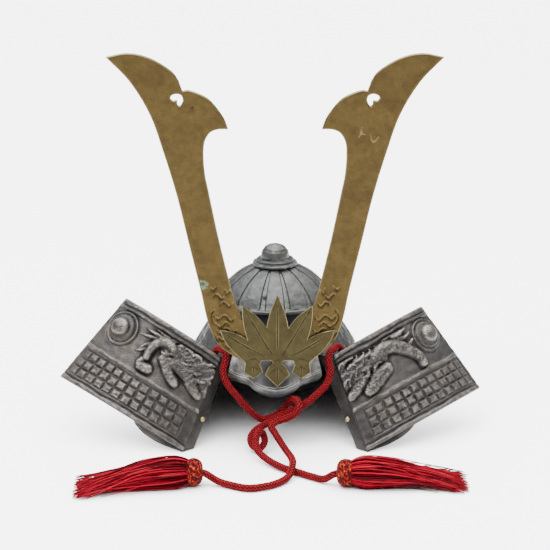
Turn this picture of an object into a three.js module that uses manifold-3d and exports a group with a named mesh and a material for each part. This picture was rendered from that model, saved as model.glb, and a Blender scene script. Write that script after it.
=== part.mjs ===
// A small cast-metal kabuto: ribbed bowl, four-lame neck guard, two turned-back wings,
// brass horns and leaf crest, and a red chin cord with two tassels. Millimetres, +Z up,
// the front faces -Y. Shapes are made about the bowl's axis and shifted at the end so that
// the origin lies under the middle of the metal helmet.
import * as THREE from "three";
import { mergeVertices } from "three/addons/utils/BufferGeometryUtils.js";
import Module from "manifold-3d";

const wasm = await Module();
wasm.setup();

// Clearances
const seam = 0.3;
const overlap = 0.6;

// Bowl and its finial
const bowlRadius = 41;
const bowlCentreHeight = 59.7;
const bowlWall = 2.6;
const domeRimHeight = 77;
const domeRimLip = 1.2;
const domeRimDepth = 2;
const bandFootHeight = 56;
const bandFlare = 2.2;
const ribCount = 14;
const ribRise = 0.9;
const ribTopWidth = 1.4;
const ribFootWidth = 3.4;
const finialRingRadius = 13.7;
const finialRingHeight = 2.2;
const finialStepRadius = 11.6;
const finialStepHeight = 2.6;
const finialCapRadius = 9;
const finialHeight = 11.2;
const finialRingSwell = 0.5;
const finialSides = 18;

// Neck guard
const guardTopSpread = 2.88;
const guardTopLap = 7.5;
const guardRimRadius = 92;
const lameWall = 2.4;
const lameTuck = 1.6;
// Foot of each lame as a share of the guard's flare and height
const lameFeet = [
  { flare: 0.2, height: 0.742 },
  { flare: 0.48, height: 0.5 },
  { flare: 0.75, height: 0.25 },
  { flare: 1, height: 0 },
];

// Wings, hinged on the inner edge line where the guard's front ends stop
const innerFoot = new THREE.Vector3(56.2, -73, 0.6);
const innerHead = new THREE.Vector3(34, -46.4, 52.5);
const flangeTurn = 139.5;
const flangeFootWidth = 8.5;
const flangeHeadWidth = 9.5;
const flangeWall = 2.6;
const guardSetback = 1.5;
const wingWidth = 98;
const wingTopInset = 10.5;
const wingOuterInset = 12.5;
const wingOuterHeight = 63;
const wingBend = 100;
const wingWall = 3;
const railRise = 1.3;
const wingSteps = 7;
const blockRise = 1;
const blockRows = 3;
const blockColumns = 12;
// Where the blocks lie, as shares of the panel's width and height, and how full each cell is
const blockField = { start: 0.075, end: 0.965, foot: 0.085, head: 0.37, wide: 0.82, tall: 0.8 };
const bossRadius = 11.2;
const bossRise = 7.6;
const bossCentre = { u: 0.855, v: 0.73 };
// How far each wing is swept back and lifted, in degrees, as fitted by hand
const wingPose = {
  left: { sweep: 25.3, lift: 22.4 },
  right: { sweep: 35.5, lift: 13.9 },
};

// Raised rails across each wing, as shares of its height and width
const wingRails = [
  { foot: 0.955, head: 1, inset: 0, rise: railRise * 1.4 },
  { foot: 0.905, head: 0.938, inset: 0, rise: railRise },
  { foot: 0.395, head: 0.43, inset: 0.018, rise: railRise },
  { foot: 0, head: 0.045, inset: 0, rise: railRise },
];
const railBevel = 0.002;
const blockBevel = 0.003;

// Rivets through the wing flanges
const rivetHeadRadius = 1.7;
const rivetHeadRise = 1.2;
const rivetShankRadius = 0.9;
const rivetLength = 5;
const rivetShare = 0.32;

// Visor
const visorHalfWidth = 29;
const visorRootHeight = 58.5;
const visorRootTurn = 37;
const visorWall = 2;
const visorLipRise = 0.8;
const visorReach = 62;
const visorSideSetback = 10;
const visorLipHeight = 33.6;
const visorLipRake = 10;
const visorSwell = 2.2;

// Horns and crest, flat plates that stand in front of the visor
const hornFront = -62.3;
const hornWall = 2.6;
const hornSpread = 99;
const hornHeight = 245;
const crestWall = 1.9;
const crestCentre = 1.5;
const bracketWidth = 12;
const bracketDepth = 5;
const bracketHeight = 63;

// Chin cord and tassels
const cordRadius = 2.15;
const cordSides = 8;
const tasselHeadRadius = 8.4;
const tasselHeadLength = 11;
const tasselLocks = 8;
const lockRadius = 2.7;

const degree = Math.PI / 180;

// Closed solids: from a three.js geometry to a manifold and back
function solid(geometry) {
  const bare = geometry.index ? geometry.toNonIndexed() : geometry.clone();
  bare.deleteAttribute("normal");
  bare.deleteAttribute("uv");
  const merged = mergeVertices(bare, 1e-4);
  const made = new wasm.Manifold(
    new wasm.Mesh({
      numProp: 3,
      vertProperties: merged.attributes.position.array,
      triVerts: new Uint32Array(merged.index.array),
    }),
  );
  return made;
}

function geometryOf(made) {
  const mesh = made.getMesh();
  const geometry = new THREE.BufferGeometry();
  const positions = new Float32Array(mesh.numVert * 3);
  for (let i = 0; i < mesh.numVert; i++) {
    for (let k = 0; k < 3; k++) positions[3 * i + k] = mesh.vertProperties[mesh.numProp * i + k];
  }
  geometry.setAttribute("position", new THREE.BufferAttribute(positions, 3));
  geometry.setIndex(new THREE.BufferAttribute(new Uint32Array(mesh.triVerts), 1));
  const flat = geometry.toNonIndexed();
  flat.computeVertexNormals();
  return flat;
}

const join = (solids) => solids.reduce((sum, one) => sum.add(one));

// Skins a row of rings, each with the same number of points, and closes both ends
// with rungs from one side of the ring to the other
function loft(rings) {
  const count = rings[0].length;
  const points = [];
  rings.forEach((ring) => ring.forEach((p) => points.push(p.x, p.y, p.z)));
  const faces = [];
  for (let i = 0; i + 1 < rings.length; i++) {
    for (let j = 0; j < count; j++) {
      const a = i * count + j;
      const b = i * count + ((j + 1) % count);
      faces.push(a, b, b + count, a, b + count, a + count);
    }
  }
  const last = (rings.length - 1) * count;
  const cap = (a, b, c) => {
    faces.push(a, c, b);
    faces.push(last + a, last + b, last + c);
  };
  for (let low = 0, high = count - 1; low + 1 < high; low++) {
    cap(low, low + 1, high);
    if (low + 1 < high - 1) cap(low + 1, high - 1, high);
    high--;
  }
  return outward(points, faces);
}

// Builds a geometry and turns its faces out if they point in
function outward(points, faces) {
  const corner = (i) => new THREE.Vector3(points[3 * i], points[3 * i + 1], points[3 * i + 2]);
  let volume = 0;
  for (let i = 0; i < faces.length; i += 3) {
    const [a, b, c] = [corner(faces[i]), corner(faces[i + 1]), corner(faces[i + 2])];
    volume += a.dot(b.cross(c));
  }
  if (volume < 0) {
    for (let i = 0; i < faces.length; i += 3) {
      [faces[i + 1], faces[i + 2]] = [faces[i + 2], faces[i + 1]];
    }
  }
  const geometry = new THREE.BufferGeometry();
  geometry.setAttribute("position", new THREE.Float32BufferAttribute(points, 3));
  geometry.setIndex(faces);
  return geometry;
}

// Moves every vertex of a closed geometry by a function of its own place
function reshape(geometry, move) {
  const place = geometry.attributes.position;
  const point = new THREE.Vector3();
  for (let i = 0; i < place.count; i++) {
    point.fromBufferAttribute(place, i);
    const moved = move(point);
    place.setXYZ(i, moved.x, moved.y, moved.z);
  }
  return geometry;
}

// Turns a profile of radius and height about the bowl's axis
function turned(profile, segments) {
  const points = profile.map(([r, z]) => new THREE.Vector2(r, z));
  const geometry = new THREE.LatheGeometry(points, segments);
  return geometry.rotateX(Math.PI / 2);
}

function closed(profile) {
  return [...profile, profile[0]];
}

// Bowl: a ribbed dome over a recessed band, one open shell
const domeArc = (radius, height) =>
  Math.sqrt(Math.max(radius ** 2 - (height - bowlCentreHeight) ** 2, 0));
const domeRimRadius = domeArc(bowlRadius, domeRimHeight) + domeRimLip;
const bandTopRadius = domeRimRadius - 2 * domeRimLip;
const bandFootRadius = bandTopRadius + bandFlare;

function domeProfile(radius, fromHeight, steps) {
  const low = Math.asin((fromHeight - bowlCentreHeight) / radius);
  const rows = [];
  for (let i = 0; i <= steps; i++) {
    const turn = low + ((Math.PI / 2 - low) * i) / steps;
    const r = i === steps ? 0 : radius * Math.cos(turn);
    rows.push([r, bowlCentreHeight + radius * Math.sin(turn)]);
  }
  return rows;
}

function bowlShell() {
  const outer = domeProfile(bowlRadius, domeRimHeight + domeRimDepth, 6);
  const inner = domeProfile(bowlRadius - bowlWall, domeRimHeight, 4).reverse();
  return solid(
    turned(
      [
        ...inner,
        [bandFootRadius - bowlWall, bandFootHeight],
        [bandFootRadius, bandFootHeight],
        [bandTopRadius, domeRimHeight - overlap],
        [domeRimRadius, domeRimHeight],
        [domeRimRadius, domeRimHeight + domeRimDepth],
        ...outer,
      ],
      2 * ribCount,
    ),
  );
}

function bowlRib(turn) {
  const top = Math.acos((finialRingRadius + 1.2) / bowlRadius);
  const foot = Math.asin((domeRimHeight + seam - bowlCentreHeight) / bowlRadius);
  const steps = 2;
  const rings = [];
  for (let i = 0; i <= steps; i++) {
    const along = foot + ((top - foot) * i) / steps;
    const half = (ribFootWidth + ((ribTopWidth - ribFootWidth) * i) / steps) / 2;
    const at = (radius, side) =>
      new THREE.Vector3(
        side,
        -radius * Math.cos(along),
        bowlCentreHeight + radius * Math.sin(along),
      );
    const low = bowlRadius - overlap;
    const crest = bowlRadius + ribRise;
    rings.push([at(low, -half), at(low, half), at(crest, half * 0.45), at(crest, -half * 0.45)]);
  }
  return solid(loft(rings).rotateZ(turn));
}

function bowl() {
  const ribs = [];
  for (let i = 0; i < ribCount; i++) ribs.push(bowlRib(((i + 0.5) * 2 * Math.PI) / ribCount));
  return geometryOf(join([bowlShell(), ...ribs]));
}

// Finial: two rings and a domed cap that sit over the ribs' top ends
function finial() {
  const seatRadius = bowlRadius + 1.5 * seam;
  const base = bowlCentreHeight + Math.sqrt(seatRadius ** 2 - finialRingRadius ** 2);
  const seat = domeProfile(seatRadius, base, 2).reverse();
  const ring = base + finialRingHeight;
  const step = ring + finialStepHeight;
  const top = bowlCentreHeight + seatRadius + finialHeight;
  const cap = [];
  for (let i = 0; i <= 4; i++) {
    const turn = (i * 90 * degree) / 4;
    const r = i === 4 ? 0 : finialCapRadius * Math.cos(turn) ** 0.8;
    cap.push([r, step + overlap + (top - step - overlap) * Math.sin(turn)]);
  }
  return geometryOf(
    solid(
      turned(
        [
          ...seat,
          [finialRingRadius + finialRingSwell, base + finialRingHeight / 2],
          [finialRingRadius - finialRingSwell, ring],
          [finialStepRadius, ring],
          [finialStepRadius, step - overlap],
          [finialCapRadius + overlap, step],
          ...cap,
        ],
        finialSides,
      ),
    ),
  );
}

// Neck guard: four overlapping conical lames, cut off at the front by two slanting planes
const guardTopRadius = bandFootRadius + guardTopSpread;
const guardTopHeight = bandFootHeight + guardTopLap;
const guardFlare = guardRimRadius - guardTopRadius;
const lameFoot = lameFeet.map((row) => ({
  radius: guardTopRadius + guardFlare * row.flare,
  height: guardTopHeight * row.height,
}));

// Upper outer corner and slope of each lame, worked down from the lame above it
function lameLines() {
  const lines = [];
  let top = { radius: guardTopRadius, height: guardTopHeight };
  for (const foot of lameFoot) {
    const slope = (foot.radius - top.radius) / (top.height - foot.height);
    const across = lameWall * Math.hypot(1, slope);
    const tuck = lines.length ? lameTuck : 0;
    const high = { radius: top.radius - slope * tuck, height: top.height + tuck };
    lines.push({ high, foot, across });
    top = { radius: foot.radius - across - seam * Math.hypot(1, slope), height: foot.height };
  }
  return lines;
}

function flangeDirection() {
  return new THREE.Vector3(Math.cos(flangeTurn * degree), Math.sin(flangeTurn * degree), 0);
}

// Normal of the flange's plane, pointing to the front and inwards
function flangeNormal() {
  const edge = innerHead.clone().sub(innerFoot);
  const normal = edge.cross(flangeDirection()).normalize();
  return normal.y > 0 ? normal.negate() : normal;
}

// A block that takes away everything in front of the flange's back on the +X side
function guardCutter() {
  const normal = flangeNormal();
  const back = innerFoot.clone().addScaledVector(normal, -(flangeWall + guardSetback));
  const far = guardRimRadius * 1.5;
  const frontEdge = (x, z) =>
    back.y - (normal.x * (x - back.x) + normal.z * (z - back.z)) / normal.y;
  const rings = [-lameWall, guardTopHeight + 2 * lameWall].map((z) => [
    new THREE.Vector3(0, frontEdge(0, z), z),
    new THREE.Vector3(far, frontEdge(far, z), z),
    new THREE.Vector3(far, -2 * far, z),
    new THREE.Vector3(0, -2 * far, z),
  ]);
  return solid(loft(rings));
}

function mirroredSolid(made) {
  const mesh = made.getMesh();
  const points = [];
  for (let i = 0; i < mesh.numVert; i++) {
    const at = mesh.numProp * i;
    points.push(-mesh.vertProperties[at], mesh.vertProperties[at + 1], mesh.vertProperties[at + 2]);
  }
  return solid(outward(points, Array.from(mesh.triVerts)));
}

function neckLames() {
  const cutter = guardCutter();
  const cutters = cutter.add(mirroredSolid(cutter));
  return lameLines().map(({ high, foot, across }) => {
    const profile = closed([
      [high.radius - across, high.height],
      [foot.radius - across, foot.height],
      [foot.radius, foot.height],
      [high.radius, high.height],
    ]);
    return solid(turned(profile, 40)).subtract(cutters);
  });
}

// Wings: a bent panel with rails, blocks, a boss and a raised beast, and a turned-in flange
function wingFrame(pose) {
  const sweep = pose.sweep * degree;
  const lift = pose.lift * degree;
  const along = new THREE.Vector3(
    Math.cos(lift) * Math.cos(sweep),
    Math.cos(lift) * Math.sin(sweep),
    Math.sin(lift),
  );
  const edge = innerHead.clone().sub(innerFoot);
  const rise = edge.clone().addScaledVector(along, -edge.dot(along)).normalize();
  const out = along.clone().cross(rise).normalize();
  if (out.y > 0) out.negate();
  return { along, rise, out, height: edge.dot(rise) };
}

// Place on the bent panel: distance along it, height up it, and depth in front of it
function wingPoint(frame, x, z, depth) {
  const half = wingWidth / 2 / wingBend;
  const turn = x / wingBend - half;
  const radius = wingBend + depth;
  const chord = wingBend * Math.sin(half) + radius * Math.sin(turn);
  const bulge = radius * Math.cos(turn) - wingBend * Math.cos(half);
  return innerFoot
    .clone()
    .addScaledVector(frame.along, chord)
    .addScaledVector(frame.rise, z)
    .addScaledVector(frame.out, bulge);
}

// The same from shares of the panel's own trapezium
function wingShare(frame, u, v, depth) {
  const start = wingTopInset * v;
  const end = wingWidth - wingOuterInset * v;
  const top = frame.height + (wingOuterHeight - frame.height) * u;
  return wingPoint(frame, start + (end - start) * u, top * v, depth);
}

// A bar over part of the panel, its front sunk in by a bevel
function wingBar(frame, u0, u1, v0, v1, low, high, steps, bevel) {
  const rings = [];
  for (let i = 0; i <= steps; i++) {
    const u = u0 + ((u1 - u0) * i) / steps;
    const ease = i === 0 || i === steps ? bevel * 2 : 0;
    const uFront = i === 0 ? u + ease : i === steps ? u - ease : u;
    rings.push([
      wingShare(frame, u, v0, low),
      wingShare(frame, uFront, v0 + bevel * 3, high),
      wingShare(frame, uFront, v1 - bevel * 3, high),
      wingShare(frame, u, v1, low),
    ]);
  }
  return solid(loft(rings));
}

function wingBoss(frame) {
  const profile = [
    [0, -overlap],
    [bossRadius, -overlap],
    [bossRadius * 0.95, railRise],
    [bossRadius * 0.78, railRise],
    [bossRadius * 0.72, bossRise * 0.34],
    [bossRadius * 0.54, bossRise * 0.36],
    [bossRadius * 0.42, bossRise * 0.74],
    [bossRadius * 0.2, bossRise * 0.9],
    [0, bossRise],
  ];
  const start = wingTopInset * bossCentre.v;
  const end = wingWidth - wingOuterInset * bossCentre.v;
  const x = start + (end - start) * bossCentre.u;
  const z = wingOuterHeight * bossCentre.v;
  return solid(
    reshape(turned(profile, 14).toNonIndexed(), (p) => wingPoint(frame, x + p.x, z + p.y, p.z)),
  );
}

// A rounded mass of the figure: centre, half length, half width, rise and turn on the panel
function wingMass(frame, row) {
  const ball = new THREE.SphereGeometry(1, 6, 4).toNonIndexed();
  const turn = row.turn * degree;
  return solid(
    reshape(ball, (p) => {
      const x = p.x * row.long;
      const z = p.y * row.wide;
      return wingPoint(
        frame,
        row.x + x * Math.cos(turn) - z * Math.sin(turn),
        row.z + x * Math.sin(turn) + z * Math.cos(turn),
        Math.max(p.z * row.rise, -overlap),
      );
    }),
  );
}

// The beast on each wing, in millimetres along and up the panel
const leftFigure = [
  { x: 24, z: 45, long: 17, wide: 8, rise: 3.4, turn: 6 },
  { x: 14, z: 36, long: 9, wide: 7, rise: 3, turn: -30 },
  { x: 38, z: 45, long: 9, wide: 4.5, rise: 4, turn: 20 },
  { x: 46, z: 39, long: 8, wide: 4, rise: 4.2, turn: 60 },
  { x: 50, z: 31.5, long: 5, wide: 5, rise: 3.6, turn: 0 },
  { x: 48, z: 50, long: 10, wide: 3, rise: 2.6, turn: -20 },
  { x: 56, z: 53, long: 6, wide: 1.8, rise: 2, turn: -35 },
  { x: 32, z: 30, long: 9, wide: 4, rise: 3.2, turn: 80 },
  { x: 18, z: 27, long: 7, wide: 4.6, rise: 3.4, turn: 110 },
];
const rightFigure = [
  { x: 18, z: 42, long: 14, wide: 8, rise: 3.4, turn: 0 },
  { x: 12, z: 33, long: 7, wide: 6, rise: 3, turn: 30 },
  { x: 34, z: 47, long: 10, wide: 5, rise: 3.8, turn: 10 },
  { x: 46, z: 46.5, long: 9, wide: 4.4, rise: 4, turn: -25 },
  { x: 55, z: 39, long: 8, wide: 4, rise: 3.6, turn: -52 },
  { x: 33, z: 34, long: 7, wide: 6, rise: 3.4, turn: 40 },
  { x: 25, z: 28, long: 7, wide: 4, rise: 3, turn: 55 },
  { x: 51, z: 54, long: 6, wide: 3.4, rise: 2.6, turn: 10 },
];

function wingFlange(frame) {
  const inwards = flangeDirection();
  const normal = flangeNormal();
  const steps = 4;
  const rings = [];
  for (let i = 0; i <= steps; i++) {
    const share = i / steps;
    const edge = innerFoot.clone().lerp(innerHead, share);
    const width = flangeFootWidth + (flangeHeadWidth - flangeFootWidth) * share;
    const outer = edge.clone().addScaledVector(inwards, -flangeWall * 0.35);
    const inner = edge.clone().addScaledVector(inwards, width);
    rings.push([
      outer,
      inner,
      inner.clone().addScaledVector(normal, -flangeWall),
      outer.clone().addScaledVector(normal, -flangeWall),
    ]);
  }
  return solid(loft(rings));
}

function wing(pose, figure) {
  const frame = wingFrame(pose);
  const frontBar = (u0, u1, v0, v1, rise, steps, bevel) =>
    wingBar(frame, u0, u1, v0, v1, -overlap, rise, steps, bevel);
  const pieces = [
    wingBar(frame, 0, 1, 0, 1, -wingWall, 0, wingSteps, 0),
    wingBoss(frame),
    wingFlange(frame),
  ];
  wingRails.forEach(({ foot, head, inset, rise }) => {
    pieces.push(frontBar(inset, 1 - inset, foot, head, rise, wingSteps, railBevel));
  });
  const columnPitch = (blockField.end - blockField.start) / blockColumns;
  const rowPitch = (blockField.head - blockField.foot) / blockRows;
  for (let row = 0; row < blockRows; row++) {
    for (let column = 0; column < blockColumns; column++) {
      const u = blockField.start + column * columnPitch;
      const v = blockField.foot + row * rowPitch;
      const uEnd = u + columnPitch * blockField.wide;
      const vEnd = v + rowPitch * blockField.tall;
      pieces.push(frontBar(u, uEnd, v, vEnd, blockRise, 1, blockBevel));
    }
  }
  figure.forEach((row) => pieces.push(wingMass(frame, row)));
  const floor = solid(new THREE.BoxGeometry(600, 600, 20).translate(0, 0, seam - 10));
  return join(pieces).subtract(floor);
}

// Rivets: domed brass heads on the flanges, with shanks into the guard behind
function rivetPlace() {
  const normal = flangeNormal();
  const width = flangeFootWidth + (flangeHeadWidth - flangeFootWidth) * rivetShare;
  const point = innerFoot.clone().lerp(innerHead, rivetShare);
  point.addScaledVector(flangeDirection(), width * 0.62);
  return { point, normal };
}

function aimed(geometry, { point, normal }) {
  const turn = new THREE.Quaternion().setFromUnitVectors(new THREE.Vector3(0, 0, 1), normal);
  return geometry.applyQuaternion(turn).translate(point.x, point.y, point.z);
}

function rivet() {
  const profile = [
    [0, -rivetLength],
    [rivetShankRadius, -rivetLength],
    [rivetShankRadius, seam],
    [rivetHeadRadius, seam],
    [rivetHeadRadius * 0.85, seam + rivetHeadRise * 0.6],
    [rivetHeadRadius * 0.45, seam + rivetHeadRise],
    [0, seam + rivetHeadRise],
  ];
  return solid(aimed(turned(profile, 10), rivetPlace()));
}

function rivetHole() {
  const radius = rivetShankRadius + seam;
  const hole = new THREE.CylinderGeometry(radius, radius, 4 * rivetLength, 10);
  return solid(aimed(hole.rotateX(Math.PI / 2), rivetPlace()));
}

// Visor: a brim with a deep middle lobe and a rolled lip
const visorLip = [
  { side: 0, drop: 0, setback: 0 },
  { side: 0.2, drop: 0.09, setback: 0.03 },
  { side: 0.42, drop: 0.36, setback: 0.16 },
  { side: 0.56, drop: 0.68, setback: 0.28 },
  { side: 0.72, drop: 0.78, setback: 0.45 },
  { side: 0.9, drop: 0.84, setback: 0.8 },
  { side: 1, drop: 1, setback: 1 },
];

function visorLipPoint(row, sign) {
  return new THREE.Vector3(
    sign * row.side * visorHalfWidth,
    -visorReach + row.setback * visorSideSetback,
    visorLipHeight + row.drop * visorLipRake,
  );
}

function visor() {
  const rootRadius = bandFootRadius + seam;
  const rows = [
    ...visorLip.slice(1).reverse().map((row) => ({ row, sign: -1 })),
    ...visorLip.map((row) => ({ row, sign: 1 })),
  ];
  const rings = rows.map(({ row, sign }) => {
    const turn = sign * row.side * visorRootTurn * degree;
    const lip = visorLipPoint(row, sign);
    const root = new THREE.Vector3(
      rootRadius * Math.sin(turn),
      -rootRadius * Math.cos(turn),
      visorRootHeight,
    );
    const at = (share, rise) => {
      const point = root.clone().lerp(lip, share);
      point.z += rise + visorSwell * Math.sin(Math.PI * share);
      return point;
    };
    return [
      at(0, 0),
      at(0.5, 0),
      at(0.9, 0),
      at(0.95, visorLipRise),
      at(1, visorLipRise * 0.4),
      at(1, -visorWall),
      at(0.5, -visorWall),
      at(0, -visorWall),
    ];
  });
  return solid(loft(rings));
}

// A flat plate in the X-Z plane from its outline, its front face at the given Y
function plate(shape, front, wall) {
  const flat = { depth: wall, bevelEnabled: false, curveSegments: 2 };
  return new THREE.ExtrudeGeometry(shape, flat).rotateX(Math.PI / 2).translate(0, front + wall, 0);
}

const halfSpan = (share) => share * hornSpread;
const rise = (share) => share * hornHeight;

// Right half of the horns' outline as shares of their spread and height
function hornShape() {
  const outer = [
    [0.34, 0.265],
    [0.41, 0.325],
    [0.455, 0.41],
    [0.524, 0.53],
    [0.592, 0.65],
    [0.67, 0.76],
    [0.745, 0.85],
    [0.86, 0.93],
  ];
  const head = [
    [0.87, 0.9995],
    [0.74, 0.988],
    [0.615, 0.957],
    [0.565, 0.929],
  ];
  const lobe = [
    [0.505, 0.909],
    [0.4, 0.89],
    [0.325, 0.855],
    [0.29, 0.83],
  ];
  const inner = [
    [0.345, 0.814],
    [0.395, 0.803],
    [0.425, 0.772],
    [0.422, 0.71],
    [0.395, 0.65],
    [0.335, 0.53],
    [0.262, 0.406],
    [0.2, 0.335],
  ];
  const shape = new THREE.Shape();
  const point = (sign) => ([x, z]) => new THREE.Vector2(sign * halfSpan(x), rise(z));
  const right = (rows) => rows.map(point(1));
  const left = (rows) => [...rows].reverse().map(point(-1));
  shape.moveTo(0, rise(0.235));
  shape.lineTo(halfSpan(0.19), rise(0.222));
  shape.splineThru(right(outer));
  shape.lineTo(halfSpan(1), rise(0.9905));
  shape.splineThru(right(head));
  shape.lineTo(halfSpan(0.55), rise(0.908));
  shape.splineThru(right(lobe));
  shape.lineTo(halfSpan(0.28), rise(0.815));
  shape.splineThru(right(inner));
  shape.lineTo(0, rise(0.29));
  shape.splineThru(left(inner));
  shape.lineTo(-halfSpan(0.28), rise(0.815));
  shape.splineThru(left(lobe));
  shape.lineTo(-halfSpan(0.55), rise(0.908));
  shape.splineThru(left(head));
  shape.lineTo(-halfSpan(1), rise(0.9905));
  shape.splineThru(left(outer));
  shape.lineTo(-halfSpan(0.19), rise(0.222));
  shape.closePath();
  [1, -1].forEach((sign) => shape.holes.push(hornEye(sign)));
  return shape;
}

// The bean-shaped opening in each horn's head
function hornEye(sign) {
  const eye = new THREE.Path();
  const rows = [
    [0.565, 0.872],
    [0.548, 0.885],
    [0.556, 0.897],
    [0.58, 0.901],
    [0.608, 0.899],
    [0.622, 0.89],
    [0.605, 0.884],
    [0.583, 0.885],
    [0.58, 0.875],
  ];
  rows.forEach(([x, z], i) => {
    const at = [sign * halfSpan(x), rise(z)];
    if (i) eye.lineTo(...at);
    else eye.moveTo(...at);
  });
  eye.closePath();
  return eye;
}

// Crest: five leaves over three flowers, in millimetres from its own middle
function crestShape() {
  const leaves = [
    [20.2, 57, 32.5, 63.5, 34.8, 76],
    [26, 74.5, 22, 72.5, 18.2, 69.6],
    [20.5, 76, 21.6, 83, 21.4, 91.2],
    [14.5, 87, 9.5, 82, 6.7, 77],
    [5.5, 85, 3, 92, 0, 98],
  ];
  const shape = new THREE.Shape();
  shape.moveTo(0, 39.2);
  shape.lineTo(7.5, 47);
  shape.lineTo(5.6, 51.6);
  shape.lineTo(2.4, 54.9);
  shape.lineTo(4.5, 56.4);
  shape.lineTo(9.6, 56.2);
  shape.lineTo(10.6, 53.6);
  shape.lineTo(8.9, 48.9);
  shape.lineTo(14.6, 44.6);
  shape.lineTo(20.4, 48.6);
  shape.lineTo(19.6, 54.6);
  leaves.forEach(([ax, az, bx, bz, x, z]) => shape.bezierCurveTo(ax, az, bx, bz, x, z));
  const back = [...leaves].reverse();
  back.forEach(([ax, az, bx, bz], i) => {
    const next = back[i + 1];
    const end = next ? [next[4], next[5]] : [19.6, 54.6];
    shape.bezierCurveTo(-bx, bz, -ax, az, -end[0], end[1]);
  });
  shape.lineTo(-20.4, 48.6);
  shape.lineTo(-14.6, 44.6);
  shape.lineTo(-8.9, 48.9);
  shape.lineTo(-10.6, 53.6);
  shape.lineTo(-9.6, 56.2);
  shape.lineTo(-4.5, 56.4);
  shape.lineTo(-2.4, 54.9);
  shape.lineTo(-5.6, 51.6);
  shape.lineTo(-7.5, 47);
  shape.closePath();
  return shape;
}

// Plain arm from the bowl's band to the back of the horns' base
function hornBracket() {
  const back = -(bandFootRadius + seam);
  const front = hornFront + hornWall + seam;
  const arm = new THREE.BoxGeometry(bracketWidth, back - front, bracketDepth);
  return arm.translate(0, (back + front) / 2, bracketHeight);
}

// Route of the chin cord, from the left tassel round the back to the right one
const cordRoute = [
  [-40.8, -126.4, 7.6],
  [-33.6, -127.4, 3.4],
  [-24.6, -132.2, 2.5],
  [-15.7, -136.1, 2.5],
  [-4.7, -133, 2.5],
  [2.9, -126.9, 2.5],
  [7.9, -119.9, 3.2],
  [10, -114.2, 6.2],
  [10.6, -109.2, 7.6],
  [9.6, -99, 7.2],
  [6.6, -90, 8.2],
  [3, -82, 10.9],
  [0.2, -77, 13.8],
  [-2.2, -72.5, 16.6],
  [1.2, -68.5, 18.4],
  [7.4, -67.5, 20.3],
  [12.8, -68, 23.8],
  [14.9, -66.7, 28.6],
  [12.2, -61.5, 30.4],
  [8.6, -57, 27],
  [4.3, -56, 20.8],
  [-2.3, -56, 16.6],
  [-8.6, -57.8, 16.2],
  [-14.6, -59, 21.2],
  [-21.8, -59, 29.6],
  [-29.5, -58, 39.7],
  [-31.8, -56, 46.8],
  [-30.2, -54, 53.4],
  [-30.7, -51.2, 57.2],
  [-33, -46.8, 57.4],
  [-35.4, -42.4, 56.6],
  [-38.4, -37.4, 51.6],
  [-41.6, -34.4, 47.8],
  [-47.4, -31.6, 43.6],
  [-55.8, -27, 38.4],
  [-65.6, -21.4, 33.4],
  [-68.4, -8.4, 30.2],
  [-67.6, 13.1, 29.9],
  [-60.3, 33.4, 29.9],
  [-47, 50.4, 29.9],
  [-29.1, 62.4, 29.9],
  [-8.4, 68.4, 29.9],
  [8.4, 68.4, 29.9],
  [29.1, 62.4, 29.9],
  [47, 50.4, 29.9],
  [60.3, 33.4, 29.9],
  [67.6, 13.1, 29.9],
  [68.4, -8.4, 30.2],
  [65.6, -21.4, 33.4],
  [56.8, -27, 38.2],
  [49.6, -30.4, 43.2],
  [44.4, -33.4, 48],
  [42, -35, 52.2],
  [39.2, -38.8, 57],
  [36.4, -44.8, 57.2],
  [34, -50.6, 57.4],
  [32.8, -55.2, 53.8],
  [33.9, -57.5, 47.3],
  [31.9, -59.5, 40.2],
  [24.5, -61.5, 32.5],
  [17.2, -62, 26.8],
  [11.1, -62, 23.6],
  [3.7, -61.6, 19.6],
  [-3.1, -62.5, 16],
  [-8, -63.5, 13.4],
  [-12.3, -65, 11],
  [-15, -68.5, 7.6],
  [-13.5, -74, 4.5],
  [-9.1, -77, 4.4],
  [-6.4, -73.6, 6.8],
  [-6.8, -70.4, 9.6],
  [-8.9, -72, 13.4],
  [-11, -77, 12.5],
  [-11.6, -81.5, 9.2],
  [-10.3, -86.5, 6.4],
  [-6, -93, 4.4],
  [0.6, -101, 3.2],
  [7.8, -107.3, 2.5],
  [14.3, -112, 2.5],
  [21.9, -118.3, 2.5],
  [29, -123.6, 3.2],
  [34.4, -127.4, 7.6],
];

// One step of the tube for each chosen point, so that the knot's short bends stay
class RouteCurve extends THREE.CatmullRomCurve3 {
  getUtoTmapping(share) {
    return share;
  }
}

function cordTube() {
  const points = cordRoute.map(([x, y, z]) => new THREE.Vector3(x, y, z));
  const section = new THREE.Shape();
  for (let i = 0; i < cordSides; i++) {
    const turn = (i * 2 * Math.PI) / cordSides;
    const at = [cordRadius * Math.cos(turn), cordRadius * Math.sin(turn)];
    if (i) section.lineTo(...at);
    else section.moveTo(...at);
  }
  section.closePath();
  return new THREE.ExtrudeGeometry(section, {
    steps: points.length - 1,
    extrudePath: new RouteCurve(points, false, "centripetal"),
    curveSegments: 1,
  });
}

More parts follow.
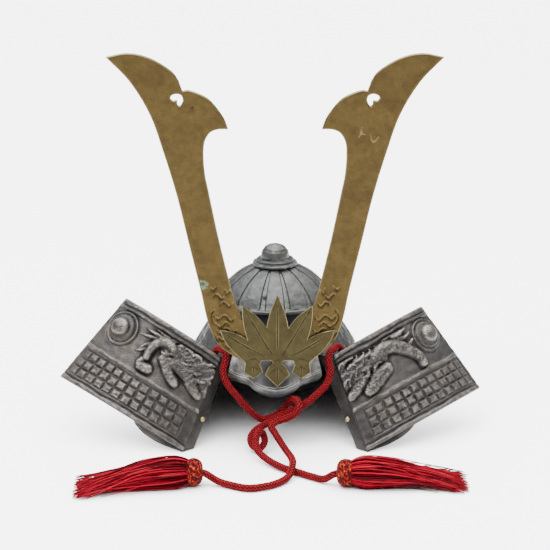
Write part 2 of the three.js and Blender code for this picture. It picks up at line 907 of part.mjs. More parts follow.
// Tassel: a round knitted head and a lying skirt of tapering locks, pointing along +X
function tassel(length, drift, fan) {
  const centre = tasselHeadRadius + seam;
  const head = [];
  for (let i = 0; i <= 6; i++) {
    const turn = (-90 + (i * 180) / 6) * degree;
    const r = i % 6 ? tasselHeadRadius * Math.cos(turn) ** 0.55 : 0;
    head.push([r, (tasselHeadLength / 2) * (1 + Math.sin(turn))]);
  }
  const ball = turned(head, 12).rotateY(Math.PI / 2).translate(0, 0, centre);
  const pieces = [solid(ball)];
  for (let i = 0; i < tasselLocks; i++) {
    const turn = (i * 2 * Math.PI) / tasselLocks;
    const spread = Math.cos(turn);
    const lift = (1 + Math.sin(turn)) / 2;
    const reach = length * (0.9 + 0.1 * Math.cos(5 * turn));
    const bulge = 1.02 * tasselHeadRadius - lockRadius;
    const lay = (share, across, low, high) =>
      new THREE.Vector3(
        tasselHeadLength * 0.7 + reach * share,
        drift * share + across * spread,
        low + (high - low) * lift,
      );
    const bottom = lockRadius + seam;
    const path = [
      lay(0, bulge * 0.7, centre - bulge * 0.7, centre + bulge * 0.7),
      lay(0.16, bulge * 1.15, bottom + 0.4, centre + bulge * 1.1),
      lay(0.45, bulge * 1.1, bottom, centre + 0.5),
      lay(0.75, fan * 0.62, bottom, centre * 0.85),
      lay(1, fan, bottom * 0.7, centre * 0.62),
    ];
    pieces.push(solid(lock(path)));
  }
  return join(pieces);
}

function lock(path) {
  const curve = new THREE.CatmullRomCurve3(path, false, "centripetal");
  const steps = 3;
  const sides = 5;
  const rings = [];
  for (let i = 0; i <= steps; i++) {
    const share = i / steps;
    const centre = curve.getPointAt(share);
    const ahead = curve.getTangentAt(share);
    const side = new THREE.Vector3(0, 0, 1).cross(ahead).normalize();
    const up = ahead.clone().cross(side);
    const radius = lockRadius * (1 - 0.45 * share ** 2);
    const ring = [];
    for (let k = 0; k < sides; k++) {
      const turn = (k * 2 * Math.PI) / sides;
      ring.push(
        centre
          .clone()
          .addScaledVector(side, radius * Math.cos(turn))
          .addScaledVector(up, radius * Math.sin(turn) * 0.9),
      );
    }
    rings.push(ring);
  }
  return loft(rings);
}

// Materials
const finish = (color, roughness, metalness) =>
  new THREE.MeshStandardMaterial({ color, roughness, metalness });
const castMetal = finish(0x5a5552, 0.5, 0.85);
const bowlMetal = finish(0x6d6d6a, 0.5, 0.85);
const brass = finish(0x8c7336, 0.38, 0.95);
const crestBrass = finish(0x8a7d44, 0.4, 0.9);
const rivetBrass = finish(0xb9a35a, 0.35, 0.95);
const redSilk = finish(0xb5142e, 0.75, 0);

// Assembly
const helmet = new THREE.Group();

function add(name, geometry, material) {
  const mesh = new THREE.Mesh(geometry, material);
  mesh.name = name;
  helmet.add(mesh);
  return mesh;
}

const hole = rivetHole();
const rightRivet = rivet();
const rightWing = wing(wingPose.right, rightFigure).subtract(hole);
const leftWing = mirroredSolid(wing(wingPose.left, leftFigure).subtract(hole));
const holes = hole.add(mirroredSolid(hole));

add("bowl", bowl(), bowlMetal);
add("finial", finial(), bowlMetal);
add("visor", geometryOf(visor()), castMetal);
neckLames().forEach((lame, i) => {
  add(`neck_lame_${i + 1}`, geometryOf(lame.subtract(holes)), castMetal);
});
add("wing_left", geometryOf(leftWing), castMetal);
add("wing_right", geometryOf(rightWing), castMetal);
add("rivet_left", geometryOf(mirroredSolid(rightRivet)), rivetBrass);
add("rivet_right", geometryOf(rightRivet), rivetBrass);
add("horns", plate(hornShape(), hornFront, hornWall), brass);
const crestFront = hornFront - crestWall - seam;
const crest = plate(crestShape(), crestFront, crestWall);
add("crest", crest.translate(crestCentre, 0, 0), crestBrass);
add("horn_bracket", hornBracket(), castMetal);

// The metal helmet's middle goes over the origin, and the cord and tassels follow it
helmet.updateMatrixWorld(true);
const metalBox = new THREE.Box3().setFromObject(helmet);
const middle = metalBox.getCenter(new THREE.Vector3());

add("chin_cord", cordTube(), redSilk);
const leftTassel = tassel(68, 6, 19);
const leftSkirt = geometryOf(leftTassel).rotateZ(Math.PI);
add("tassel_left", leftSkirt.translate(-42.2, -126.4, 0), redSilk);
const rightTassel = tassel(70, 4, 17);
add("tassel_right", geometryOf(rightTassel).translate(36, -127.6, 0), redSilk);
helmet.position.set(-middle.x, -middle.y, 0);

export default helmet;
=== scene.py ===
import math

import bmesh
import bpy
import numpy as np
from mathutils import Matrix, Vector
from mathutils.geometry import delaunay_2d_cdt


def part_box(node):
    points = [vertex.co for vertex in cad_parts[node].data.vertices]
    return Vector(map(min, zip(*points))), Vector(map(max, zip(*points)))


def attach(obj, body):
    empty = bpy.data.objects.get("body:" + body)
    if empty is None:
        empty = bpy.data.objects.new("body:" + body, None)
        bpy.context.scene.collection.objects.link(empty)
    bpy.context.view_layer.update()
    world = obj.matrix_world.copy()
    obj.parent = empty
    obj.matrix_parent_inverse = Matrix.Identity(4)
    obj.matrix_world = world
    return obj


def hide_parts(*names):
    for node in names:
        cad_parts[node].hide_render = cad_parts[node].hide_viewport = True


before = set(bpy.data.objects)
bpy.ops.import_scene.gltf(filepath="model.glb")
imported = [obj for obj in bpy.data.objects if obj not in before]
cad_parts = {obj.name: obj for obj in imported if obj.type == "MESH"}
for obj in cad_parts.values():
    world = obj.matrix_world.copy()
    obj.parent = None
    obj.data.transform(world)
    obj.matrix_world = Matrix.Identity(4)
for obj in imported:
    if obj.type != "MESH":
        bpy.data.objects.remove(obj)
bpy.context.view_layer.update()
print("stage: frame loaded")

# The helmet frame: millimetres, the bowl's axis at X = Y = 0, the floor at Z = 0
mm = 0.001
bowlLow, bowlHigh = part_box("bowl")
shift = np.array([(bowlLow.x + bowlHigh.x) / 2, (bowlLow.y + bowlHigh.y) / 2, 0.0])


def toWorld(points):
    return np.asarray(points, float) * mm + shift


def linkObject(name, data):
    thing = bpy.data.objects.new(name, data)
    bpy.context.scene.collection.objects.link(thing)
    return thing


# Camera, set first so that everything is judged from the photo's own place
cameraValues = {
    "place": (0.0, -1246.7, 461.0),
    "target": (0.0, -28.0, 100.0),
    "lens": 134.2,
    "sensor": 36.0,
    "clip": (0.05, 20.0),
}


def addCamera(values):
    data = bpy.data.cameras.new("photoCamera")
    data.lens = values["lens"]
    data.sensor_width = values["sensor"]
    data.clip_start, data.clip_end = values["clip"]
    camera = linkObject("photoCamera", data)
    place, target = (Vector(toWorld(values[key])) for key in ("place", "target"))
    camera.location = place
    camera.rotation_euler = (target - place).to_track_quat("-Z", "Y").to_euler()
    bpy.context.scene.camera = camera


addCamera(cameraValues)
print("stage: camera")


# Curves and noise that the shapes below share
def smoothStep(low, high, value):
    share = np.clip((value - low) / (high - low), 0.0, 1.0)
    return share * share * (3.0 - 2.0 * share)


def bar(value, low, high, soft):
    return smoothStep(low - soft, low + soft, value) * (1 - smoothStep(high - soft, high + soft, value))


# A soft line of height 1 where the value meets the centre
def softLine(value, centre, width):
    return np.exp(-(((value - centre) / width) ** 2))


# Points around the bowl's axis, with the turn counted from the front
def aroundAxis(radius, turns, height):
    return np.stack([radius * np.sin(turns), -radius * np.cos(turns), height], axis=-1)


# Smooth seeded noise of about unit size over points of any dimension
def ripple(points, size, seed, waves=28):
    random = np.random.default_rng(seed)
    points = np.asarray(points, float)
    ways = random.normal(size=(waves, points.shape[-1]))
    ways /= np.linalg.norm(ways, axis=1)[:, None]
    rates = 2 * math.pi / size * random.uniform(0.55, 1.5, waves)
    phases = random.uniform(0, 2 * math.pi, waves)
    total = np.zeros(points.shape[:-1])
    for way, rate, phase in zip(ways, rates, phases):
        total += np.sin(points @ way * rate + phase)
    return total / math.sqrt(waves / 2)


def catmull(points, steps, closed=False):
    points = np.asarray(points, float)
    if closed:
        ends = np.vstack([points[-1:], points, points[:2]])
    else:
        ends = np.vstack([2 * points[0] - points[1], points, 2 * points[-1] - points[-2]])
    rows = []
    for i in range(len(ends) - 3):
        a, b, c, d = ends[i : i + 4]
        for t in np.arange(steps) / steps:
            square, cube = 2 * a - 5 * b + 4 * c - d, 3 * b - a - 3 * c + d
            rows.append(0.5 * (2 * b + (c - a) * t + square * t**2 + cube * t**3))
    if not closed:
        rows.append(points[-1])
    return np.array(rows)


# Evenly spaced points along a line
def resample(line, count):
    lengths = np.concatenate([[0], np.cumsum(np.linalg.norm(np.diff(line, axis=0), axis=1))])
    at = np.linspace(0, lengths[-1], count)
    return np.stack([np.interp(at, lengths, line[:, k]) for k in range(line.shape[1])], axis=1)


# Distance from points to a polyline, and the share along it of the nearest place
def nearLine(points, line):
    best = np.full(len(points), 1e9)
    share = np.zeros(len(points))
    lengths = np.linalg.norm(np.diff(line, axis=0), axis=1)
    total = lengths.sum()
    run = 0.0
    for a, b, length in zip(line[:-1], line[1:], lengths):
        way = (b - a) / max(length, 1e-9)
        along = np.clip((points - a) @ way, 0, length)
        gap = points - a - along[:, None] * way
        distance = np.hypot(gap[:, 0], gap[:, 1])
        closer = distance < best
        best = np.where(closer, distance, best)
        share = np.where(closer, (run + along) / total, share)
        run += length
    return best, share


# Softened maximum of two reliefs, so that masses run into each other like a casting
def blend(a, b, soft):
    mix = np.clip(0.5 + 0.5 * (a - b) / soft, 0, 1)
    return b + (a - b) * mix + soft * mix * (1 - mix)


# Faces between rings of equal length, closed round each ring
def ringFaces(rows, columns):
    i, j = np.meshgrid(np.arange(rows - 1), np.arange(columns), indexing="ij")
    a = i * columns + j
    b = i * columns + (j + 1) % columns
    return np.stack([a, b, b + columns, a + columns], axis=-1).reshape(-1, 4).tolist()


def raisedFaces(faces, base):
    return [[k + base for k in face] for face in faces]


# One shown piece from vertices in the helmet frame, riding on the one body of the frame
def addPiece(name, points, faces, material, nodes=(), marks=None, sharp=None, inner=None):
    mesh = bpy.data.meshes.new(name)
    mesh.from_pydata(toWorld(points).tolist(), [], faces)
    shape = bmesh.new()
    shape.from_mesh(mesh)
    bmesh.ops.recalc_face_normals(shape, faces=shape.faces)
    shape.to_mesh(mesh)
    shape.free()
    mesh.shade_smooth()
    for key, values in (marks or {}).items():
        layer = mesh.attributes.new(key, "FLOAT", "POINT")
        layer.data.foreach_set("value", np.asarray(values, np.float32).ravel())
    mesh.materials.append(material)
    # faces listed in inner take the near-black painted shade of the hollow inside
    if inner is not None:
        mesh.materials.append(innerShade)
        mesh.polygons.foreach_set("material_index", np.asarray(inner, np.int32))
    if sharp:
        mesh.set_sharp_from_angle(angle=math.radians(sharp))
    piece = linkObject(name, mesh)
    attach(piece, "root")
    if nodes:
        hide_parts(*nodes)
    return piece


# Skins rings of equal length, with a cap on the first and last
def skin(rings):
    count, size = rings.shape[:2]
    faces = ringFaces(count, size)
    faces.append(list(range(size))[::-1])
    faces.append([(count - 1) * size + k for k in range(size)])
    return rings.reshape(-1, 3), faces


# Shader helpers
def addNode(tree, kind, place, **values):
    node = tree.nodes.new(kind)
    node.location = place
    for key, value in values.items():
        if hasattr(node, key):
            setattr(node, key, value)
        else:
            node.inputs[key.replace("_", " ").title()].default_value = value
    return node


def newGroup(name, inputs, outputs):
    tree = bpy.data.node_groups.new(name, "ShaderNodeTree")
    for label, kind in inputs:
        tree.interface.new_socket(name=label, in_out="INPUT", socket_type=kind)
    for label, kind in outputs:
        tree.interface.new_socket(name=label, in_out="OUTPUT", socket_type=kind)
    entry = addNode(tree, "NodeGroupInput", (-900, 0))
    leave = addNode(tree, "NodeGroupOutput", (900, 0))
    return tree, entry, leave


def noiseNode(tree, source, place, size, detail=3.0, roughness=0.55, distortion=0.0):
    node = addNode(tree, "ShaderNodeTexNoise", place,
                   Detail=detail, Roughness=roughness, Distortion=distortion)
    node.inputs["Scale"].default_value = 1 / (size * mm)
    tree.links.new(source, node.inputs["Vector"])
    return node.outputs["Fac"]


def rangeNode(tree, value, place, low, high, newLow=0.0, newHigh=1.0):
    node = addNode(tree, "ShaderNodeMapRange", place)
    node.clamp = True
    node.interpolation_type = "SMOOTHSTEP"
    for key, number in (("From Min", low), ("From Max", high), ("To Min", newLow), ("To Max", newHigh)):
        node.inputs[key].default_value = number
    tree.links.new(value, node.inputs["Value"])
    return node.outputs["Result"]


def mathNode(tree, operation, place, a, b):
    node = addNode(tree, "ShaderNodeMath", place, operation=operation)
    for socket, value in zip(node.inputs, (a, b)):
        if isinstance(value, (int, float)):
            socket.default_value = value
        else:
            tree.links.new(value, socket)
    return node.outputs["Value"]


def mixNode(tree, place, share, a, b, kind="MIX"):
    node = addNode(tree, "ShaderNodeMix", place)
    node.data_type = "RGBA"
    node.blend_type = kind
    for socket, value in ((node.inputs[0], share), (node.inputs[6], a), (node.inputs[7], b)):
        if isinstance(value, (int, float)):
            socket.default_value = value
        elif isinstance(value, tuple):
            socket.default_value = (*value, 1.0)
        else:
            tree.links.new(value, socket)
    return node.outputs[2]


crustGreen = (0.11, 0.16, 0.105)


# Worn metal: patina, stains, dark recesses, rubbed high spots and green crust, from marks of 0 to 1
def wornMetalGroup():
    tree, entry, leave = newGroup(
        "wornMetal",
        [("Base", "NodeSocketColor"), ("Stain", "NodeSocketColor"), ("Rubbed", "NodeSocketColor"),
         ("Dark", "NodeSocketColor"), ("Relief", "NodeSocketFloat"), ("Wear", "NodeSocketFloat"),
         ("Mottle", "NodeSocketFloat"), ("Green", "NodeSocketFloat")],
        [("Color", "NodeSocketColor"), ("Roughness", "NodeSocketFloat"), ("Height", "NodeSocketFloat")],
    )
    place = addNode(tree, "ShaderNodeTexCoord", (-900, -300)).outputs["Object"]
    broad = noiseNode(tree, place, (-700, -100), 14.0, 4.0, 0.6, 0.4)
    patch = noiseNode(tree, place, (-700, -300), 4.2, 5.0, 0.65, 0.3)
    grain = noiseNode(tree, place, (-700, -500), 0.75, 4.0, 0.7)
    stains = rangeNode(tree, broad, (-500, -100), 0.42, 0.66)
    ground = mixNode(tree, (-300, 0), stains, entry.outputs["Base"], entry.outputs["Stain"])
    blotches = rangeNode(tree, patch, (-500, -250), 0.35, 0.7, 0.0, 0.55)
    mottle = mathNode(tree, "MULTIPLY", (-300, -200), blotches, entry.outputs["Mottle"])
    mottled = mixNode(tree, (-100, 0), mottle, ground, entry.outputs["Dark"])
    offset = mathNode(tree, "SUBTRACT", (-600, -450), patch, 0.5)
    jitter = mathNode(tree, "MULTIPLY", (-500, -450), offset, 0.3)
    relief = mathNode(tree, "ADD", (-300, -400), entry.outputs["Relief"], jitter)
    pits = rangeNode(tree, relief, (-100, -300), 0.08, 0.42, 1.0, 0.0)
    sunk = mixNode(tree, (100, 0), pits, mottled, entry.outputs["Dark"])
    high = rangeNode(tree, relief, (-100, -500), 0.55, 0.95)
    worn = mathNode(tree, "MULTIPLY", (100, -400), high, entry.outputs["Wear"])
    shine = mixNode(tree, (300, 0), worn, sunk, entry.outputs["Rubbed"])
    speck = rangeNode(tree, grain, (100, -600), 0.3, 0.72, 0.86, 1.1)
    grey = addNode(tree, "ShaderNodeCombineColor", (300, -600))
    for socket in grey.inputs:
        tree.links.new(speck, socket)
    fine = mixNode(tree, (500, 0), 1.0, shine, grey.outputs["Color"], "MULTIPLY")
    final = mixNode(tree, (700, 0), entry.outputs["Green"], fine, crustGreen)
    dull = rangeNode(tree, patch, (300, -250), 0.3, 0.75, 0.36, 0.56)
    pitDull = mathNode(tree, "MULTIPLY", (400, -350), pits, 0.25)
    rough = mathNode(tree, "ADD", (500, -250), dull, pitDull)
    polish = mathNode(tree, "MULTIPLY", (500, -450), worn, 0.14)
    smooth = mathNode(tree, "SUBTRACT", (600, -250), rough, polish)
    fineGrain = mathNode(tree, "MULTIPLY", (500, -600), grain, 0.5)
    height = mathNode(tree, "ADD", (600, -600), fineGrain, patch)
    for label, value in (("Color", final), ("Roughness", smooth), ("Height", height)):
        tree.links.new(value, leave.inputs[label])
    return tree


# Silk braid: a deep red that is also painted shade in the gaps between strands, a bright red on the strand
# tops, fine bright flecks that are painted highlights, and a woven height
def silkGroup():
    tree, entry, leave = newGroup(
        "silk",
        [("DeepAndShade", "NodeSocketColor"), ("Bright", "NodeSocketColor"), ("HighlightColour", "NodeSocketColor"),
         ("Weave", "NodeSocketFloat"), ("Flecks", "NodeSocketFloat")],
        [("Color", "NodeSocketColor"), ("Height", "NodeSocketFloat")],
    )
    place = addNode(tree, "ShaderNodeTexCoord", (-900, -300)).outputs["Object"]
    fibre = noiseNode(tree, place, (-700, -300), 0.28, 3.0, 0.7)
    spots = noiseNode(tree, place, (-700, -500), 0.55, 2.0, 0.6)
    offset = mathNode(tree, "SUBTRACT", (-650, -200), fibre, 0.5)
    loose = mathNode(tree, "MULTIPLY", (-600, -200), offset, 0.9)
    weave = mathNode(tree, "ADD", (-500, -200), entry.outputs["Weave"], loose)
    # painted light and shade: low weave, in the gaps, takes the deep shade colour, high weave, on the strand
    # tops, the bright red
    tone = rangeNode(tree, weave, (-300, -200), 0.3, 0.8)
    thread = mixNode(tree, (-100, 0), tone, entry.outputs["DeepAndShade"], entry.outputs["Bright"])
    # painted highlights: bright flecks where the weave and the spots peak
    spark = mathNode(tree, "ADD", (-400, -400), weave, spots)
    bright = rangeNode(tree, spark, (-300, -400), 1.2, 1.5)
    paintedHighlight = mathNode(tree, "MULTIPLY", (-100, -400), bright, entry.outputs["Flecks"])
    final = mixNode(tree, (200, 0), paintedHighlight, thread, entry.outputs["HighlightColour"])
    tree.links.new(final, leave.inputs["Color"])
    tree.links.new(mathNode(tree, "ADD", (200, -300), weave, fibre), leave.inputs["Height"])
    return tree


wornMetal = wornMetalGroup()
silk = silkGroup()


# A material from a group and its settings, with marks read from the piece's own attributes
def surfaceMaterial(name, group, settings, bumpSize, strength, marks, shader):
    material = bpy.data.materials.new(name)
    material.use_nodes = True
    tree = material.node_tree
    tree.nodes.clear()
    leave = addNode(tree, "ShaderNodeOutputMaterial", (600, 0))
    principled = addNode(tree, "ShaderNodeBsdfPrincipled", (300, 0))
    for key, value in shader.items():
        principled.inputs[key].default_value = value
    look = addNode(tree, "ShaderNodeGroup", (-200, 0))
    look.node_tree = group
    for key, value in settings.items():
        look.inputs[key].default_value = (*value, 1.0) if isinstance(value, tuple) else value
    for label, key in marks.items():
        source = addNode(tree, "ShaderNodeAttribute", (-500, 0), attribute_name=key)
        tree.links.new(source.outputs["Fac"], look.inputs[label])
    tree.links.new(look.outputs["Color"], principled.inputs["Base Color"])
    if "Roughness" in look.outputs:
        tree.links.new(look.outputs["Roughness"], principled.inputs["Roughness"])
    bump = addNode(tree, "ShaderNodeBump", (50, -300))
    bump.inputs["Strength"].default_value = strength
    bump.inputs["Distance"].default_value = bumpSize * mm
    tree.links.new(look.outputs["Height"], bump.inputs["Height"])
    tree.links.new(bump.outputs["Normal"], principled.inputs["Normal"])
    tree.links.new(principled.outputs["BSDF"], leave.inputs["Surface"])
    return material


metalShader = {"Metallic": 0.82, "Specular IOR Level": 0.5}
brassShader = {"Metallic": 0.95}
silkShader = {"Roughness": 0.8, "Specular IOR Level": 0.08}
relief = {"Relief": "relief"}
weaveMark = {"Weave": "weave"}

castMetal = surfaceMaterial(
    "castMetal", wornMetal,
    {"Base": (0.029, 0.0268, 0.0262), "Stain": (0.041, 0.0355, 0.031), "Rubbed": (0.15, 0.134, 0.118),
     "Dark": (0.0045, 0.004, 0.0045), "Wear": 0.75, "Mottle": 0.5},
    0.12, 0.5, relief, metalShader,
)
bowlMetal = surfaceMaterial(
    "bowlMetal", wornMetal,
    {"Base": (0.042, 0.0445, 0.0425), "Stain": (0.055, 0.0545, 0.05), "Rubbed": (0.12, 0.122, 0.113),
     "Dark": (0.012, 0.013, 0.017), "Wear": 0.7, "Mottle": 0.6},
    0.1, 0.45, relief, metalShader,
)
visorMetal = surfaceMaterial(
    "visorMetal", wornMetal,
    {"Base": (0.09, 0.09, 0.086), "Stain": (0.05, 0.047, 0.043), "Rubbed": (0.2, 0.195, 0.185),
     "Dark": (0.012, 0.012, 0.0135), "Wear": 0.8, "Mottle": 0.8},
    0.12, 0.5, relief, metalShader,
)
hornBrass = surfaceMaterial(
    "hornBrass", wornMetal,
    {"Base": (0.05, 0.0335, 0.0112), "Stain": (0.04, 0.0268, 0.0095), "Rubbed": (0.2, 0.155, 0.075),
     "Dark": (0.018, 0.012, 0.005), "Wear": 0.55, "Mottle": 0.22},
    0.05, 0.35, {"Relief": "relief", "Green": "green"}, brassShader,
)
crestBrass = surfaceMaterial(
    "crestBrass", wornMetal,
    {"Base": (0.033, 0.0268, 0.0108), "Stain": (0.027, 0.0218, 0.009), "Rubbed": (0.22, 0.19, 0.1),
     "Dark": (0.012, 0.0095, 0.0045), "Wear": 0.6, "Mottle": 0.2},
    0.05, 0.4, relief, brassShader,
)
rivetBrass = surfaceMaterial(
    "rivetBrass", wornMetal,
    {"Base": (0.3, 0.24, 0.1), "Stain": (0.2, 0.15, 0.06), "Rubbed": (0.5, 0.43, 0.22),
     "Dark": (0.08, 0.06, 0.025), "Wear": 0.8, "Mottle": 0.3, "Relief": 0.7},
    0.05, 0.3, {}, brassShader,
)
plainIron = surfaceMaterial(
    "plainIron", wornMetal,
    {"Base": (0.04, 0.04, 0.038), "Stain": (0.055, 0.05, 0.045), "Rubbed": (0.11, 0.1, 0.09),
     "Dark": (0.012, 0.012, 0.012), "Wear": 0.4, "Mottle": 0.5, "Relief": 0.5},
    0.1, 0.4, {}, metalShader,
)
# Near-black painted shade for the hollow inside of the bowl and the neck guard
innerShade = surfaceMaterial(
    "innerShade", wornMetal,
    {"Base": (0.0035, 0.0037, 0.0042), "Stain": (0.005, 0.005, 0.005), "Rubbed": (0.01, 0.01, 0.01),
     "Dark": (0.002, 0.002, 0.0025), "Wear": 0.2, "Mottle": 0.5, "Relief": 0.4},
    0.1, 0.3, {}, {"Metallic": 0.0, "Specular IOR Level": 0.06},
)
# In each silk the deep colour is also painted shade in the gaps and the fleck colour is a painted highlight
cordSilk = surfaceMaterial(
    "cordSilk", silk,
    {"DeepAndShade": (0.004, 0.0, 0.0004), "Bright": (0.085, 0.0003, 0.0028),
     "HighlightColour": (0.24, 0.01, 0.011), "Flecks": 0.6},
    0.25, 0.5, weaveMark, silkShader,
)
headSilk = surfaceMaterial(
    "headSilk", silk,
    {"DeepAndShade": (0.02, 0.0, 0.001), "Bright": (0.12, 0.0008, 0.003),
     "HighlightColour": (0.42, 0.11, 0.012), "Flecks": 0.5},
    0.3, 0.6, weaveMark, silkShader,
)
threadSilk = surfaceMaterial(
    "threadSilk", silk,
    {"DeepAndShade": (0.03, 0.0, 0.0016), "Bright": (0.2, 0.0005, 0.0085),
     "HighlightColour": (0.3, 0.01, 0.016), "Flecks": 0.2},
    0.1, 0.3, weaveMark, silkShader,
)
print("stage: materials")


# Chin cord: one whole loop from the left tassel round the back to the right one
cordValues = {
    "radius": 2.05,
    "sides": 28,
    "pitch": 12.0,
    "strands": 12,
    "strandRise": 0.4,
    "weaveMiddle": 0.55,
    "lowest": 0.2,
    "spacing": 0.42,
    "length": 0.785,
    "leftEnd": (-43.6, -126.3, 8.4),
    "rightEnd": (37.2, -127.6, 8.4),
}
cordRoute = [
    (-40.8, -126.4, 7.6), (-33.6, -127.4, 3.4), (-24.6, -132.2, 2.5), (-15.7, -136.1, 2.5), (-4.7, -133, 2.5),
    (2.9, -126.9, 2.5), (7.9, -119.9, 3.2), (10, -114.2, 6.2), (10.6, -109.2, 7.6), (9.6, -99, 7.2),
    (6.6, -90, 8.2), (3, -82, 10.9), (0.2, -77, 13.8), (-2.2, -72.5, 16.6), (1.2, -68.5, 18.4),
    (7.4, -67.5, 20.3), (12.8, -68, 23.8), (14.9, -66.7, 28.6), (12.2, -61.5, 30.4), (8.6, -57, 27),
    (4.3, -56, 20.8), (-2.3, -56, 16.6), (-8.6, -57.8, 16.2), (-14.6, -59, 21.2), (-21.8, -59, 29.6),
    (-29.5, -58, 39.7), (-31.8, -56, 46.8), (-30.2, -54, 53.4), (-30.7, -51.2, 57.2), (-33, -46.8, 57.4),
    (-35.4, -42.4, 56.6), (-38.4, -37.4, 51.6), (-41.6, -34.4, 47.8), (-47.4, -31.6, 43.6),
    (-55.8, -27, 38.4), (-65.6, -21.4, 33.4), (-68.4, -8.4, 30.2), (-67.6, 13.1, 29.9), (-60.3, 33.4, 29.9),
    (-47, 50.4, 29.9), (-29.1, 62.4, 29.9), (-8.4, 68.4, 29.9), (8.4, 68.4, 29.9), (29.1, 62.4, 29.9),
    (47, 50.4, 29.9), (60.3, 33.4, 29.9), (67.6, 13.1, 29.9), (68.4, -8.4, 30.2), (65.6, -21.4, 33.4),
    (56.8, -27, 38.2), (49.6, -30.4, 43.2), (44.4, -33.4, 48), (42, -35, 52.2), (39.2, -38.8, 57),
    (36.4, -44.8, 57.2), (34, -50.6, 57.4), (32.8, -55.2, 53.8), (33.9, -57.5, 47.3), (31.9, -59.5, 40.2),
    (24.5, -61.5, 32.5), (17.2, -62, 26.8), (11.1, -62, 23.6), (3.7, -61.6, 19.6), (-3.1, -62.5, 16),
    (-8, -63.5, 13.4), (-12.3, -65, 11), (-15, -68.5, 7.6), (-13.5, -74, 4.5), (-9.1, -77, 4.4),
    (-6.4, -73.6, 6.8), (-6.8, -70.4, 9.6), (-8.9, -72, 13.4), (-11, -77, 12.5), (-11.6, -81.5, 9.2),
    (-10.3, -86.5, 6.4), (-6, -93, 4.4), (0.6, -101, 3.2), (7.8, -107.3, 2.5), (14.3, -112, 2.5),
    (21.9, -118.3, 2.5), (29, -123.6, 3.2), (34.4, -127.4, 7.6),
]


# Frames carried along a line without twist
def carriedFrames(line):
    ahead = np.gradient(line, axis=0)
    ahead /= np.linalg.norm(ahead, axis=1)[:, None]
    side = np.cross(ahead[0], (0, 0, 1.0))
    side /= np.linalg.norm(side)
    sides = [side]
    for way in ahead[1:]:
        side = side - way * np.dot(side, way)
        side /= np.linalg.norm(side)
        sides.append(side)
    sides = np.array(sides)
    return sides, np.cross(ahead, sides)


def tube(line, radius, sides):
    across, up = carriedFrames(line)
    turn = np.arange(sides) * 2 * math.pi / sides
    ring = across[:, None] * np.cos(turn)[None, :, None] + up[:, None] * np.sin(turn)[None, :, None]
    return line[:, None] + ring * np.asarray(radius)[..., None]


# Centripetal Catmull-Rom, as the CAD cord is drawn
def centripetal(points, steps):
    points = np.asarray(points, float)
    ends = np.vstack([2 * points[0] - points[1], points, 2 * points[-1] - points[-2]])
    rows = []
    for i in range(len(ends) - 3):
        p = ends[i : i + 4]
        knots = np.concatenate([[0], np.cumsum(np.sqrt(np.linalg.norm(np.diff(p, axis=0), axis=1)))])
        for t in np.linspace(knots[1], knots[2], steps, endpoint=False):
            a = [p[k] + (p[k + 1] - p[k]) * (t - knots[k]) / (knots[k + 1] - knots[k]) for k in range(3)]
            b = [a[k] + (a[k + 1] - a[k]) * (t - knots[k]) / (knots[k + 2] - knots[k]) for k in range(2)]
            rows.append(b[0] + (b[1] - b[0]) * (t - knots[1]) / (knots[2] - knots[1]))
    rows.append(points[-1])
    return np.array(rows)


def cordPiece(values):
    fine = centripetal([values["leftEnd"], *cordRoute, values["rightEnd"]], 12)
    length = np.linalg.norm(np.diff(fine, axis=0), axis=1).sum()
    line = resample(fine, int(length / values["spacing"]))
    run = np.linspace(0, length, len(line))[:, None]
    turn = (np.arange(values["sides"]) * 2 * math.pi / values["sides"])[None, :]
    half = values["strands"] / 2
    phase = run * 2 * math.pi / values["pitch"]
    left = np.cos(half * turn - half * phase)
    right = np.cos(half * turn + half * phase)
    weave = np.maximum(left, right)
    radius = values["radius"] + values["strandRise"] * (weave - values["weaveMiddle"])
    rings = tube(line, radius, values["sides"])
    rings[..., 2] = np.maximum(rings[..., 2], values["lowest"])
    points, faces = skin(rings)
    # the strand that lies on top changes at each crossing
    along = np.arange(len(line))[:, None] * values["spacing"]
    crossing = np.floor(along / values["pitch"] * values["strands"])
    over = np.where(crossing % 2 == 0, left, right)
    # the weave mark also paints light and shade: lighter on the strand crowns and on the strand that lies on
    # top, darker in the gaps between strands
    piece = addPiece("chinCord", points, faces, cordSilk, ["chin_cord"],
                     {"weave": np.clip(0.5 + 0.32 * weave + 0.25 * over, 0, 1)})
    return piece, line, length


# Tassels: a knitted head and a lying skirt of fine threads
tasselValues = {
    "headRadius": 8.4,
    "headLength": 11.0,
    "headKnit": 0.35,
    "headRows": 90,
    "headColumns": 96,
    "lift": 0.3,
    "lowest": 0.2,
    "threads": 330,
    "strays": 22,
    "threadRadius": 0.3,
    "threadSteps": 16,
    "threadSides": 4,
    "bulge": 8.3,
    "wave": 0.75,
}
tasselLays = {
    "Left": {"length": 68, "drift": 6, "fan": 19, "turn": math.pi, "place": (-42.2, -126.4), "seed": 11},
    "Right": {"length": 70, "drift": 4, "fan": 17, "turn": 0.0, "place": (36.0, -127.6), "seed": 23},
}


# From the tassel's own frame, which runs along X from its head, to the helmet's frame
def tasselPlace(points, lay):
    cosine, sine = math.cos(lay["turn"]), math.sin(lay["turn"])
    right, back = lay["place"]
    x, y, z = (points[..., k] for k in range(3))
    return np.stack([x * cosine - y * sine + right, x * sine + y * cosine + back, z], axis=-1)


